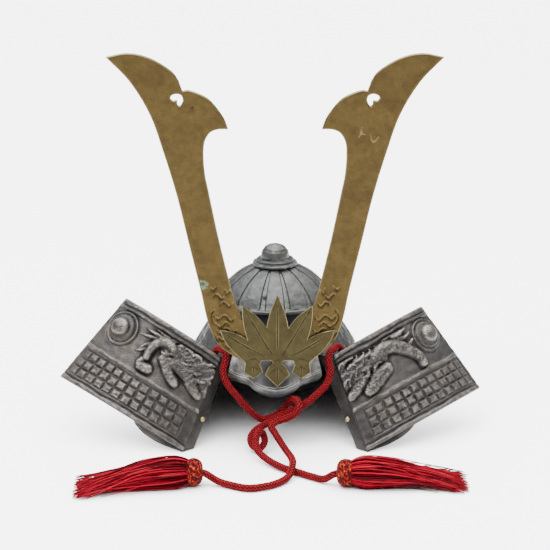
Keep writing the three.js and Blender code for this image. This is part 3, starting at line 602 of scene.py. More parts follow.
def tasselHead(name, lay, values):
    centre = values["headRadius"] + values["lift"]
    rows, columns = values["headRows"], values["headColumns"]
    turn = np.linspace(-0.5, 0.5, rows) * math.pi * 0.985
    around = np.arange(columns) * 2 * math.pi / columns
    radius = values["headRadius"] * np.cos(turn) ** 0.6
    # stitches slant one way and then the other
    slant = 26 * np.abs(((turn[:, None] * 3.1) % 1) - 0.5)
    knit = np.cos(around[None, :] * 13 + slant) * np.cos(turn[:, None] * 20)
    places = [np.cos(around)[None] * radius[:, None], np.sin(around)[None] * radius[:, None],
              np.broadcast_to(turn[:, None] * 8, (rows, columns))]
    fuzz = ripple(np.stack(places, axis=-1), 2.2, lay["seed"])
    wide = radius[:, None] * 0.965 + values["headKnit"] * (0.6 * knit + 0.35 * fuzz) * np.cos(turn)[:, None]
    x = np.broadcast_to((values["headLength"] / 2 * (1 + np.sin(turn)))[:, None], (rows, columns))
    rings = np.stack([x, wide * np.cos(around), centre + wide * np.sin(around)], axis=-1)
    rings[..., 2] = np.maximum(rings[..., 2], values["lowest"] + 0.05)
    points, faces = skin(tasselPlace(rings, lay))
    # the weave mark also paints light and shade on the knit: lighter on the stitch ridges, darker between
    # them, with some random variation
    weave = np.clip(0.5 + 0.35 * knit + 0.2 * fuzz, 0, 1)
    return addPiece("tasselHead" + name, points, faces, headSilk, [], {"weave": weave})


def tasselSkirt(name, lay, values):
    random = np.random.default_rng(lay["seed"])
    centre = values["headRadius"] + values["lift"]
    allPoints, allFaces, allWeave = [], [], []
    total = values["threads"] + values["strays"]
    for i in range(total):
        stray = i >= values["threads"]
        around = random.uniform(0, 2 * math.pi)
        inner = math.sqrt(random.uniform(0.02, 1))
        across, lift = math.cos(around) * inner, math.sin(around) * inner
        reach = lay["length"] * random.uniform(0.86, 1.0) * (random.uniform(0.7, 1.02) if stray else 1)
        fan = lay["fan"] * (random.uniform(1.0, 1.35) if stray else 1.0)
        wander = random.normal(0, 1.3, 3) * (1.8 if stray else 1.0)
        bulge = values["bulge"]
        waves = random.normal(0, values["wave"], (5, 2))
        low = 0.55 + 0.9 * random.random()
        # share of the length, half width and half height
        stations = (
            (0, 0.86 * bulge, 0.86 * bulge),
            (0.14, 1.32 * bulge, 1.2 * bulge),
            (0.42, 1.3 * bulge, 0.95 * bulge),
            (0.74, 0.68 * fan, 0.45 * bulge),
            (1.0, fan, 0.16 * bulge),
        )
        path = []
        for step, (share, wide, tall) in enumerate(stations):
            middle = centre + (tall * 0.9 - centre) * share
            x = values["headLength"] * 0.72 + reach * share
            y = lay["drift"] * share + wide * across + wander[0] * share * math.sin(3 * share + wander[1])
            y += waves[step, 0] * (step > 1)
            lifted = 0.8 * wander[2] * share if stray else 0
            z = middle + tall * lift + lifted + waves[step, 1] * (step > 1)
            path.append((x, y, max(z, low)))
        line = resample(catmull(path, 8), values["threadSteps"])
        taper = 1 - 0.5 * np.linspace(0, 1, len(line)) ** 3
        radius = values["threadRadius"] * taper * random.uniform(0.8, 1.2)
        rings = tube(line, radius[:, None] * np.ones(values["threadSides"]), values["threadSides"])
        rings[..., 2] = np.maximum(rings[..., 2], values["lowest"])
        points, faces = skin(tasselPlace(rings, lay))
        allFaces += raisedFaces(faces, sum(len(p) for p in allPoints))
        allPoints.append(points)
        allWeave.append(np.full(len(points), random.uniform(0.1, 0.95)))
    return addPiece("tasselSkirt" + name, np.vstack(allPoints), allFaces, threadSilk,
                    ["tassel_" + name.lower()], {"weave": np.concatenate(allWeave)})


chinCord, cordLine, cordLength = cordPiece(cordValues)
tasselPieces = []
for side, lay in tasselLays.items():
    tasselPieces += [tasselHead(side, lay, tasselValues), tasselSkirt(side, lay, tasselValues)]
print("stage: cord and tassels, cord %.1f mm" % cordLength)


# Wings: bent panels with rails, blocks, a boss and a raised beast, and a turned-in flange
wingValues = {
    "innerFoot": (56.2, -73.0, 0.6),
    "innerHead": (34.0, -46.4, 52.5),
    "flangeTurn": 139.5,
    "flangeWidths": (8.5, 9.5),
    "flangeWall": 2.6,
    "width": 98.0,
    "topInset": 10.5,
    "outerInset": 12.5,
    "outerHeight": 63.0,
    "bend": 100.0,
    "wall": 3.0,
    "figureField": (0.43, 0.455, 0.885, 0.905),
    "rails": ((0.955, 1.05, 1.4), (0.905, 0.938, 1), (0.395, 0.43, 1), (-0.05, 0.045, 1)),
    "railRise": 0.8,
    "railGroove": 0.5,
    "blockRise": 0.85,
    "blockRows": 3,
    "blockColumns": 12,
    "blockField": (0.075, 0.965, 0.085, 0.37),
    "bossCentre": (0.825, 0.72),
    "bossRadius": 11.2,
    "bossRise": 7.0,
    "lowest": 0.3,
    "columns": 300,
    "rows": 190,
    "backRows": 14,
}
# Boss from its middle outwards: share of its radius and share of its rise
bossTiers = [(0, 1), (0.12, 0.985), (0.2, 0.94), (0.42, 0.8), (0.5, 0.62), (0.55, 0.42), (0.58, 0.36),
             (0.7, 0.33), (0.76, 0.26), (0.8, 0.1), (0.9, 0.19), (0.97, 0.17), (1.0, 0.0), (1.06, -0.05)]
# Section of the flange: share of its width and share of its wall
flangeSection = [(-0.1, 0.1), (0.05, 0), (0.5, 0), (0.92, 0), (0.98, 0.08), (1, 0.3), (1, 0.8), (0.96, 1),
                 (0.5, 1), (-0.1, 1)]
# Each stroke of the beast: points on the panel in millimetres along and up, widths at its
# start, middle and end, and rise
wingSides = {
    "Left": {
        "sign": -1, "sweep": 25.3, "lift": 22.4, "seed": 5,
        "strokes": [
            # body over the rocks, and the long back
            ([(9, 47), (20, 49), (32, 49), (41, 48)], (5.5, 7.5, 4.5), 2.3),
            ([(8, 37), (13, 42), (20, 44)], (3.5, 5, 4.5), 2.1),
            ([(22, 41), (30, 43), (36, 42)], (5, 5.5, 3.5), 3.2),
            # arm that arches over to the block paw
            ([(38, 50), (43, 51.5), (48, 49), (50.5, 43), (50, 37)], (3.6, 3.4, 2.8), 4.2),
            ([(45.5, 31.5), (50.5, 31)], (3.6, 4, 3.4), 3.8),
            ([(51.5, 34.5), (52.5, 31.5)], (2.4, 2.6, 2), 3.9),
            # claw tuft at the top and the small leaf tuft
            ([(44, 54), (50, 55.5), (57, 56.5)], (2.0, 1.5, 0.5), 2.6),
            ([(45, 52.5), (52, 52.5), (60, 53)], (2.0, 1.4, 0.4), 2.7),
            ([(48, 50.5), (55, 49.5), (61.5, 48)], (1.9, 1.3, 0.4), 2.4),
            ([(52, 46), (55, 43.5), (57, 40)], (1.6, 1.5, 0.5), 2.2),
            ([(53, 42), (56.5, 39), (59.5, 38)], (1.5, 1.3, 0.4), 2.0),
            # two round-ended legs
            ([(41, 41.5), (36, 38), (31, 34.5), (27, 32.5)], (3.2, 3.8, 3.4), 3.4),
            ([(25, 41.5), (19, 38), (14, 35), (11, 33.5)], (3.8, 4.2, 3.4), 3.3),
        ],
        "mane": {"x": (9, 42), "z": (41, 55), "count": 24, "turn": -0.25},
    },
    "Right": {
        "sign": 1, "sweep": 35.5, "lift": 13.9, "seed": 9,
        "strokes": [
            # smooth body that arcs over to the round end
            ([(33, 48), (41, 50), (49, 48), (55.5, 42.5), (60.5, 36), (61, 31)], (4.6, 4.8, 3.4), 4.0),
            ([(10, 46), (20, 47), (30, 47), (38, 46)], (5, 7, 4), 2.3),
            ([(9, 41), (16, 43), (24, 44)], (3.5, 5, 4.5), 2.1),
            # claw and cloud tuft
            ([(44, 55.5), (50, 57), (57, 56)], (2.4, 2.6, 1.0), 2.7),
            ([(50, 53.5), (56, 54), (61, 55.5)], (2.2, 2.0, 0.6), 2.9),
            ([(53, 51), (58, 50.5), (63, 52)], (1.8, 1.5, 0.5), 2.4),
            ([(59, 45), (63, 47), (66, 46)], (1.6, 1.3, 0.4), 2.0),
            # haunch and the leg that goes down to the paw
            ([(37, 38.5), (31, 36.5), (25, 34), (19, 31.5)], (4.4, 5.4, 3.2), 3.4),
            ([(24, 31), (19, 30)], (2.6, 2.8, 2), 3.2),
            # snout and teardrop loop
            ([(8, 33.5), (14, 36), (20, 38.5)], (3, 3.8, 3), 3.2),
            ([(8, 54), (14, 56), (20, 54.5)], (1.6, 2.4, 1.4), 2.9),
        ],
        "mane": {"x": (8, 36), "z": (40, 54), "count": 24, "turn": 0.35},
    },
}


# Direction of the flange from the inner edge, and the normal of its outer face
def flangePlane(values):
    turn = math.radians(values["flangeTurn"])
    inwards = np.array([math.cos(turn), math.sin(turn), 0.0])
    normal = np.cross(np.array(values["innerHead"]) - np.array(values["innerFoot"]), inwards)
    normal /= np.linalg.norm(normal)
    return inwards, -normal if normal[1] > 0 else normal


# The bent panel of a wing, as a place in space for each place on the panel
class WingShape:
    def __init__(self, values, side):
        sweep, lift = math.radians(side["sweep"]), math.radians(side["lift"])
        self.values = values
        self.foot = np.array(values["innerFoot"])
        self.edge = np.array(values["innerHead"]) - self.foot
        flat = math.cos(lift)
        self.along = np.array([flat * math.cos(sweep), flat * math.sin(sweep), math.sin(lift)])
        rise = self.edge - self.along * np.dot(self.edge, self.along)
        self.rise = rise / np.linalg.norm(rise)
        out = np.cross(self.along, self.rise)
        out /= np.linalg.norm(out)
        self.out = -out if out[1] > 0 else out
        self.height = np.dot(self.edge, self.rise)

    # Distances along and up the panel at shares of its trapezium
    def spans(self, u, v):
        values = self.values
        start = values["topInset"] * v
        end = values["width"] - values["outerInset"] * v
        top = self.height + (values["outerHeight"] - self.height) * u
        return start + (end - start) * u, top * v

    def point(self, x, z, depth):
        bend, width = self.values["bend"], self.values["width"]
        half = width / 2 / bend
        turn = x / bend - half
        radius = bend + depth
        chord = bend * math.sin(half) + radius * np.sin(turn)
        bulge = radius * np.cos(turn) - bend * math.cos(half)
        at = self.foot + self.along * chord[..., None] + self.rise * z[..., None]
        return at + self.out * bulge[..., None]


# A rounded ridge along one stroke
def strokeRelief(places, line, widths, rise):
    distance, share = nearLine(places, catmull(line, 6))
    width = np.interp(share, (0, 0.5, 1), widths)
    inside = np.clip(1 - (distance / width) ** 2, 0, 1)
    return rise * inside**0.5


# A lock of the mane: a short bent stroke that tapers to a hooked end
def lockRelief(places, centre, length, turn, bend, rise):
    way = np.array([math.cos(turn), math.sin(turn)])
    side = np.array([-way[1], way[0]])
    line = [
        centre - way * length * 0.5,
        centre - way * length * 0.1 + side * bend * 0.8,
        centre + way * length * 0.35 + side * bend * 0.7,
        centre + way * length * 0.5 - side * bend * 0.2,
    ]
    return strokeRelief(places, line, (1.3, 2.1, 0.7), rise)


def wingRelief(values, side, u, v, x, z):
    random = np.random.default_rng(side["seed"])
    places = np.stack([x.ravel(), z.ravel()], axis=1)
    wobble = ripple(places, 16, side["seed"]).reshape(u.shape) * 0.0035
    vWavy = v + wobble
    footLow, footHigh, headLow, headHigh = values["figureField"]
    figureGround = smoothStep(footLow, footHigh, v) * (1 - smoothStep(headLow, headHigh, v))
    stipple = ripple(places, 1.7, side["seed"] + 1).reshape(u.shape)
    pebbles = ripple(places, 3.4, side["seed"] + 2).reshape(u.shape)
    height = figureGround * (0.07 * stipple + 0.1 * pebbles - 0.35)

    # Beast: its strokes run into each other, and the mane's locks lie over them in rows
    beast = np.zeros(len(places))
    for stroke in side["strokes"]:
        beast = blend(beast, strokeRelief(places, *stroke), 0.35)
    mane, maneRows = side["mane"], 4
    (left, right), (low, high) = mane["x"], mane["z"]
    for i in range(mane["count"]):
        row = i % maneRows
        share = (i // maneRows + 0.5 * (row % 2) + random.uniform(-0.2, 0.2)) / (mane["count"] / maneRows)
        lockX = left + (right - left) * share
        lockZ = low + (high - low) * (row + 0.5 + random.uniform(-0.2, 0.2)) / maneRows
        turn = mane["turn"] + random.uniform(-0.55, 0.55)
        length, bend = random.uniform(5.5, 8.5), random.choice((-1.4, 1.6))
        lock = lockRelief(places, np.array([lockX, lockZ]), length, turn, bend, random.uniform(2.4, 3.4))
        beast = np.maximum(beast, lock)
    beast = beast.reshape(u.shape)
    shape = smoothStep(0.02, 0.5, beast)
    fur = ripple(places, 3.0, side["seed"] + 3).reshape(u.shape)
    beast = beast + shape * (0.06 * fur + 0.015 * stipple)
    moat = 0.4 * smoothStep(0.0, 0.25, beast) * (1 - smoothStep(0.25, 0.9, beast))
    height = height + np.where(figureGround > 0, figureGround * (beast - moat), 0)

    # Rails with thin dark grooves beside them
    ends = smoothStep(0.0, 0.03, 1 - u)
    for low, high, rise in values["rails"]:
        rise = rise * values["railRise"]
        height = np.maximum(height, rise * ends * bar(vWavy, low, high, 0.007) * (1 + 0.06 * pebbles))
        for edge in (low - 0.012, high + 0.012):
            height = height - values["railGroove"] * softLine(vWavy, edge, 0.006)

    # Blocks in rows, slightly uneven, the outermost ones fading
    start, end, foot, head = values["blockField"]
    columns, rows = values["blockColumns"], values["blockRows"]
    column = (u - start) / (end - start) * columns
    row = (v - foot) / (head - foot) * rows
    columnAt = np.clip(np.floor(column), 0, columns - 1).astype(int)
    rowAt = np.clip(np.floor(row), 0, rows - 1).astype(int)
    offsets = random.uniform(-0.045, 0.045, (rows, columns, 4))
    rises = random.uniform(0.82, 1.08, (rows, columns))
    own = offsets[rowAt, columnAt]
    # each block's sides are hollowed, so its corners stand out
    aside, above = column - columnAt - 0.5, row - rowAt - 0.5
    across = 1 - smoothStep(0.31, 0.42, np.abs(aside + own[..., 0]) - 0.3 * above**2)
    tall = 1 - smoothStep(0.3, 0.42, np.abs(above + own[..., 2]) - 0.3 * aside**2)
    inside = (column > 0) & (column < columns) & (row > 0) & (row < rows)
    fade = (1 - 0.55 * smoothStep(0.88, 0.985, u)) * (0.72 + 0.28 * smoothStep(0.1, 0.4, u))
    block = values["blockRise"] * across * tall * rises[rowAt, columnAt] * fade
    block = block * (1 + 0.07 * pebbles + 0.03 * stipple)
    gaps = -0.35 * inside * (1 - across * tall)
    height = height + np.where(inside, block + gaps, 0)

    # Boss: tiers with a button on top
    bossU, bossV = values["bossCentre"]
    bossStart = values["topInset"] * bossV
    bossEnd = values["width"] - values["outerInset"] * bossV
    centre = np.array([bossStart + (bossEnd - bossStart) * bossU, values["outerHeight"] * bossV])
    away = np.hypot(*(places - centre).T).reshape(u.shape) / values["bossRadius"]
    tiers = np.interp(away, *zip(*bossTiers))
    near = away < bossTiers[-1][0]
    height = np.where(near, tiers * values["bossRise"] + 0.06 * stipple, height)
    broad = ripple(places, 7, side["seed"] + 4).reshape(u.shape)
    return height + 0.07 * broad + 0.03 * ripple(places, 1.1, side["seed"] + 6).reshape(u.shape)


# Height above its own surroundings, as a mark of 0 in hollows to 1 on high spots
def reliefMark(height, reach, gain):
    rows, columns = height.shape
    padded = np.pad(height, reach, mode="edge")
    sums = np.pad(padded.cumsum(0).cumsum(1), ((1, 0), (1, 0)))
    size = 2 * reach + 1
    mean = (sums[size:, size:] - sums[:-size, size:] - sums[size:, :-size] + sums[:-size, :-size]) / size**2
    return np.clip(0.5 + gain * (height - mean[:rows, :columns]), 0, 1)


def wingPiece(name, side, values):
    shape = WingShape(values, side)
    columns, rows = values["columns"], values["rows"]
    edges = np.array([0, 0.004, 0.009])
    u = np.concatenate([edges, np.linspace(0.014, 0.986, columns - 6), 1 - edges[::-1]])
    v = np.concatenate([edges, np.linspace(0.014, 0.986, rows - 6), 1 - edges[::-1]])
    u, v = np.meshgrid(u, v, indexing="ij")
    x, z = shape.spans(u, v)
    height = wingRelief(values, side, u, v, x, z)
    rounding = np.minimum(np.minimum(u, 1 - u) * 82, np.minimum(v, 1 - v) * 60)
    height = height - 1.0 * (1 - smoothStep(-0.1, 1.0, rounding)) ** 2
    mark = reliefMark(height, 10, 0.36)
    front = shape.point(x, z, height)
    backV = np.linspace(0.999, 0.001, values["backRows"])
    backU = np.broadcast_to(u[:, :1], (columns, len(backV)))
    backX, backZ = shape.spans(backU, np.broadcast_to(backV, backU.shape))
    back = shape.point(backX, backZ, np.full(backX.shape, -values["wall"]))
    rings = np.concatenate([front, back], axis=1)
    rings[..., 2] = np.maximum(rings[..., 2], values["lowest"])
    marks = np.concatenate([mark, np.full(backX.shape, 0.3)], axis=1)
    points, faces = skin(rings)

    # Flange turned in behind the inner edge
    inwards, normal = flangePlane(values)
    flange = []
    for share in np.linspace(0, 1, 40):
        at = shape.foot + shape.edge * share
        width = np.interp(share, (0, 1), values["flangeWidths"])
        flange.append([at + inwards * width * across - normal * values["flangeWall"] * depth
                       for across, depth in flangeSection])
    flange = np.array(flange)
    flange += ripple(flange, 5, side["seed"] + 8)[..., None] * 0.06
    flange[..., 2] = np.maximum(flange[..., 2], values["lowest"])
    flangePoints, flangeFaces = skin(flange)
    faces += raisedFaces(flangeFaces, len(points))
    points = np.vstack([points, flangePoints]) * (side["sign"], 1, 1)
    marks = np.concatenate([marks.ravel(), np.full(len(flangePoints), 0.42)])
    return addPiece("wing" + name, points, faces, castMetal, ["wing_" + name.lower()],
                    {"relief": marks}, sharp=62)


for name, side in wingSides.items():
    wingPiece(name, side, wingValues)
print("stage: wings")


# Flat plates cut to an outline, with a rounded front edge and an engraved front
plateValues = {
    "horns": {"front": -62.3, "wall": 2.6, "spacing": 0.95, "round": 0.55, "spread": 99.0, "height": 245.0},
    "crest": {"front": -64.5, "wall": 1.9, "spacing": 0.42, "round": 0.5, "centre": 1.5},
}


# A closed outline from its right half, which starts and ends on the middle line
def bothSides(right):
    return np.vstack([right, (right * (-1, 1))[::-1][1:-1]])


# The same places on the right half for both sides
def foldedOver(places):
    return np.stack([np.abs(places[:, 0]), places[:, 1]], axis=1)


def evenLoop(loop, spacing):
    corners = []
    for a, b in zip(loop, np.roll(loop, -1, axis=0)):
        steps = max(int(round(np.linalg.norm(b - a) / spacing)), 1)
        corners += [a + (b - a) * k / steps for k in range(steps)]
    return np.array(corners)


def insideLoops(points, loops):
    inside = np.zeros(len(points), bool)
    for loop in loops:
        for a, b in zip(loop, np.roll(loop, -1, axis=0)):
            if a[1] == b[1]:  # level with the line that counts crossings
                continue
            crosses = (a[1] > points[:, 1]) != (b[1] > points[:, 1])
            at = a[0] + (points[:, 1] - a[1]) / (b[1] - a[1]) * (b[0] - a[0])
            inside ^= crosses & (points[:, 0] < at)
    return inside


def edgeDistance(points, loops):
    best = np.full(len(points), 1e9)
    for loop in loops:
        closed = np.vstack([loop, loop[:1]])
        best = np.minimum(best, nearLine(points, closed)[0])
    return best


# A plate from its outline and holes, with a function for the depth and marks of its front
def platePiece(name, loops, values, engrave, material, node):
    spacing, edgeRound, front = values["spacing"], values["round"], values["front"]
    loops = [evenLoop(np.asarray(loop, float), spacing * 1.1) for loop in loops]
    edgeCount = [len(loop) for loop in loops]
    rim = np.vstack(loops)
    # two rows of points inside the outline carry the rounded edge
    inset = []
    for loop in loops:
        way = np.roll(loop, -1, axis=0) - np.roll(loop, 1, axis=0)
        normal = np.stack([-way[:, 1], way[:, 0]], axis=1) / np.linalg.norm(way, axis=1)[:, None]
        for side in (1, -1):
            for depth in (0.35, 1.0):
                inset.append(loop + side * normal * edgeRound * depth)
    inset = np.vstack(inset)
    inset = inset[insideLoops(inset, loops)]
    away = edgeDistance(inset, loops)
    onInner = np.abs(away - edgeRound) < 0.12 * edgeRound
    inset = inset[onInner | (np.abs(away - 0.35 * edgeRound) < 0.08 * edgeRound)]
    low, high = rim.min(0), rim.max(0)
    # a grid of even triangles fills the rest
    xs, zs = np.meshgrid(np.arange(low[0], high[0], spacing), np.arange(low[1], high[1], spacing * 0.866))
    xs = xs + (np.arange(len(xs)) % 2)[:, None] * spacing / 2
    inner = np.stack([xs.ravel(), zs.ravel()], axis=1)
    inner = inner[insideLoops(inner, loops)]
    inner = inner[edgeDistance(inner, loops) > edgeRound + 0.45 * spacing]
    flat = np.vstack([rim, inset, inner])
    edges, base = [], 0
    for count in edgeCount:
        edges += [(base + k, base + (k + 1) % count) for k in range(count)]
        base += count
    places, _, triangles, *_ = delaunay_2d_cdt([Vector(p) for p in flat], edges, [], 0, 1e-5)
    places = np.array([tuple(p) for p in places])
    triangles = np.array(triangles)
    keep = insideLoops(places[triangles].mean(axis=1), loops)
    triangles = triangles[keep]
    distance = edgeDistance(places, loops)
    cut, mark = engrave(places, distance)
    fall = np.clip(1 - distance / edgeRound, 0, 1)
    depth = edgeRound * (1 - np.sqrt(np.clip(1 - fall**2, 0, 1))) + cut
    depth[distance < 1e-4] = edgeRound
    count = len(places)
    frontPoints = np.stack([places[:, 0], front + depth, places[:, 1]], axis=1)
    backPoints = np.stack([places[:, 0], np.full(count, front + values["wall"]), places[:, 1]], axis=1)
    faces = triangles.tolist() + (triangles[:, ::-1] + count).tolist()
    base = 0
    for loopCount in edgeCount:
        for k in range(loopCount):
            a, b = base + k, base + (k + 1) % loopCount
            faces.append([a, b, b + count, a + count])
        base += loopCount
    marks = np.concatenate([np.clip(mark + 0.3 * fall, 0, 1), np.full(count, 0.45)])
    points = np.vstack([frontPoints, backPoints]) + (values.get("centre", 0.0), 0, 0)
    shown = {"relief": marks}
    if node == "horns":
        shown["green"] = np.concatenate([np.clip(crustRing(places)[0], 0, 1), np.zeros(count)])
    return addPiece(name, points, faces, material, [node], shown, sharp=50)


# A groove along a smooth line, tapered to its ends, 1 deep in its middle
def groove(places, line, width):
    distance, share = nearLine(places, catmull(line, 6))
    taper = np.sin(math.pi * np.clip(share, 0.04, 0.96)) ** 0.5
    return np.clip(1 - (distance / (width * taper)) ** 2, 0, 1)


# Horns: right half of the outline as shares of the spread and height
hornFoot, hornCrotch = 0.235, 0.29
hornOuter = [(0.19, 0.222), (0.34, 0.265), (0.41, 0.325), (0.455, 0.41), (0.524, 0.53), (0.592, 0.65),
             (0.67, 0.76), (0.745, 0.85), (0.86, 0.93), (1, 0.9905)]
hornHead = [(1, 0.9905), (0.87, 0.9995), (0.74, 0.988), (0.615, 0.957), (0.565, 0.929)]
hornLobe = [(0.55, 0.908), (0.505, 0.909), (0.4, 0.89), (0.325, 0.855), (0.29, 0.83)]
hornInner = [(0.28, 0.815), (0.345, 0.814), (0.395, 0.803), (0.425, 0.772), (0.422, 0.71), (0.395, 0.65),
             (0.335, 0.53), (0.262, 0.406), (0.2, 0.335)]
hornEye = [(0.565, 0.872), (0.548, 0.885), (0.556, 0.897), (0.58, 0.901), (0.608, 0.899), (0.622, 0.89),
           (0.605, 0.884), (0.583, 0.885), (0.58, 0.875)]
# Flames and waves on each horn's lower part: lines in millimetres on the right half
hornWaves = [
    [(25.5, 92), (28, 89.5), (31, 92.5), (34, 90)],
    [(30, 97), (32.5, 94.5), (35.5, 97.5), (37.5, 95.5)],
    [(24, 83), (27, 80.5), (30.5, 84), (34.5, 81.5), (37.5, 84.5)],
    [(27, 77), (30, 79.5), (33, 76.5), (36.5, 79)],
    [(23, 75), (26, 72.5), (29.5, 75.5), (32, 72), (36, 74.5)],
    [(25, 68.5), (28, 71), (31.5, 68), (34.5, 70.5)],
    [(22, 64), (25, 66.5), (28, 63.5), (31.5, 66)],
    [(36.5, 88), (38.5, 85), (38, 81), (36, 78)],
    [(33.5, 66), (35.5, 69.5), (37.5, 74)],
    [(27, 100), (29.5, 97.5), (30.5, 101)],
    [(35, 102.5), (37.5, 100), (39.5, 102)],
]


def hornLoops(values):
    scale = np.array([values["spread"], values["height"]])
    curves = [catmull(rows, 7)[:-1] for rows in (hornOuter, hornHead, hornLobe, hornInner)]
    right = np.vstack([[(0, hornFoot)], *curves, [hornInner[-1]], [(0, hornCrotch)]]) * scale
    eye = catmull(hornEye, 4, closed=True) * scale
    return [bothSides(right), eye, (eye * (-1, 1))[::-1]]


# A small ring of green crust on the left horn: how green, and how dark in its middle
crustSpot = {"x": -43.9, "z": 104.2, "reach": (3.3, 2.5)}


def crustRing(places):
    across = (places[:, 0] - crustSpot["x"]) / crustSpot["reach"][0]
    up = (places[:, 1] - crustSpot["z"]) / crustSpot["reach"][1]
    out = np.hypot(across, up) + 0.18 * ripple(places, 2.2, 12)
    green = 0.75 * softLine(out, 0.8, 0.2) + 0.35 * np.exp(-((out / 0.5) ** 4))
    return green, np.exp(-((out / 0.6) ** 4))


# Scratches on the right horn: lines and widths
hornScratches = [
    ([(51.2, 201), (50.8, 197.5), (49.4, 194.4)], 0.95),
    ([(56, 197), (58.1, 192), (61.3, 195.4)], 0.95),
    ([(50.8, 197.2), (53.4, 196.6)], 0.9),
]
hornPit = (-48.6, 213.0)


def hornEngraving(places, distance):
    half = foldedOver(places)
    cut = np.zeros(len(places))
    mark = np.full(len(places), 0.5)
    for wave in hornWaves:
        shape = groove(half, wave, 0.75)
        ridge = groove(half + (0.3, -1.25), wave, 0.9)
        cut = cut + 0.5 * shape - 0.24 * ridge * (1 - shape)
        mark = mark - 0.45 * shape + 0.27 * ridge * (1 - shape)
    cut = np.clip(cut, -0.28, 0.6)
    # a small casting pit on the left horn and scratches on the right one
    pit = np.exp(-((places - hornPit) ** 2).sum(1) / 0.9)
    scratches = sum(groove(places, line, width) for line, width in hornScratches)
    cut = cut + 0.5 * pit + 0.05 * scratches + 0.05 * ripple(places, 22, 3) + 0.02 * ripple(places, 5, 4)
    mark = mark - 0.4 * pit + 0.3 * scratches - 0.45 * crustRing(places)[1]
    rubbed = 0.16 * (1 - smoothStep(0.4, 1.6, distance))
    return np.clip(cut, -0.3, 0.8), mark + rubbed


platePiece("hornPair", hornLoops(plateValues["horns"]), plateValues["horns"], hornEngraving,
           hornBrass, "horns")

# Crest: five leaves over three flowers, in millimetres from its own middle
crestFoot = [(0, 39.2), (7.5, 47), (5.6, 51.6), (2.4, 54.9), (4.5, 56.4), (9.6, 56.2), (10.6, 53.6),
             (8.9, 48.9), (14.6, 44.6), (20.4, 48.6)]
crestLeaves = [
    [(19.6, 54.6), (20.2, 57), (32.5, 63.5), (34.8, 76)],
    [(34.8, 76), (26, 74.5), (22, 72.5), (18.2, 69.6)],
    [(18.2, 69.6), (20.5, 76), (21.6, 83), (21.4, 91.2)],
    [(21.4, 91.2), (14.5, 87), (9.5, 82), (6.7, 77)],
    [(6.7, 77), (5.5, 85), (3, 92), (0, 98)],
]
# Engraved midribs of the leaves and the flowers' lines, right half, with the middle one at 0
crestRibs = [
    [(0, 58.5), (0, 70), (0, 82), (0, 93)],
    [(3.2, 60), (9, 70), (15, 80.5), (19.4, 88)],
    [(7, 59), (16, 63.5), (25, 69), (31.5, 74)],
    [(0, 53), (0, 48), (0, 42.5)],
    [(14.6, 54), (14.6, 50), (14.6, 46.5)],
]
crestFine = [
    [(-2.4, 54.9), (0, 57), (2.4, 54.9)],
    [(0, 51.5), (3.2, 49.5), (5.3, 47)],
    [(10.4, 54.5), (13, 57.5), (17, 57), (19, 55)],
    [(11.5, 50.8), (14.6, 52), (17.8, 51)],
]


# One cubic curve of a leaf's edge
def bezier(points, steps):
    a, b, c, d = (np.array(p, float) for p in points)
    t = (np.arange(steps) / steps)[:, None]
    return a * (1 - t) ** 3 + 3 * b * t * (1 - t) ** 2 + 3 * c * t**2 * (1 - t) + d * t**3


def crestLoop():
    curves = [bezier(leaf, 10) for leaf in crestLeaves]
    return [bothSides(np.vstack([crestFoot, *curves, [crestLeaves[-1][-1]]]))]


def crestEngraving(places, distance):
    half = foldedOver(places)
    cut = np.zeros(len(places))
    mark = np.full(len(places), 0.5)
    for rib in crestRibs:  # a line with rubbed edges
        shape = groove(half, rib, 0.5)
        edges = groove(half, rib, 1.1) * (1 - shape)
        cut += 0.3 * shape
        mark += 0.35 * edges - 0.35 * shape
    for line in crestFine:
        shape = groove(half, line, 0.4)
        cut += 0.2 * shape
        mark -= 0.25 * shape
    dome = 0.32 * (1 - np.clip(distance / 4.5, 0, 1)) ** 2
    cut = np.clip(cut, 0, 0.4) + dome + 0.03 * ripple(places, 6, 8)
    mark = mark + 0.14 * (1 - smoothStep(0.3, 1.0, distance))
    return cut, mark


platePiece("crestLeaves", crestLoop(), plateValues["crest"], crestEngraving,
           crestBrass, "crest")
print("stage: horns and crest")


# Bowl: a ribbed dome over a recessed band, one open shell
bowlValues = {
    "radius": 41.0,
    "centre": 59.7,
    "wall": 2.6,
    "rimHeight": 77.0,
    "rimLip": 1.2,
    "dent": (-6.2, -30.6, 86.5),
    "rimDepth": 2.0,
    "footHeight": 56.0,
    "bandFlare": 2.2,
    "ribs": 14,
    "ribHalfTurn": 2.75,
    "ribRise": 0.62,
    "ribEdge": 0.55,
}
domeFoot = math.sqrt(bowlValues["radius"] ** 2 - (bowlValues["rimHeight"] - bowlValues["centre"]) ** 2)
rimRadius = domeFoot + bowlValues["rimLip"]
bandTopRadius = rimRadius - 2 * bowlValues["rimLip"]
bandFootRadius = bandTopRadius + bowlValues["bandFlare"]


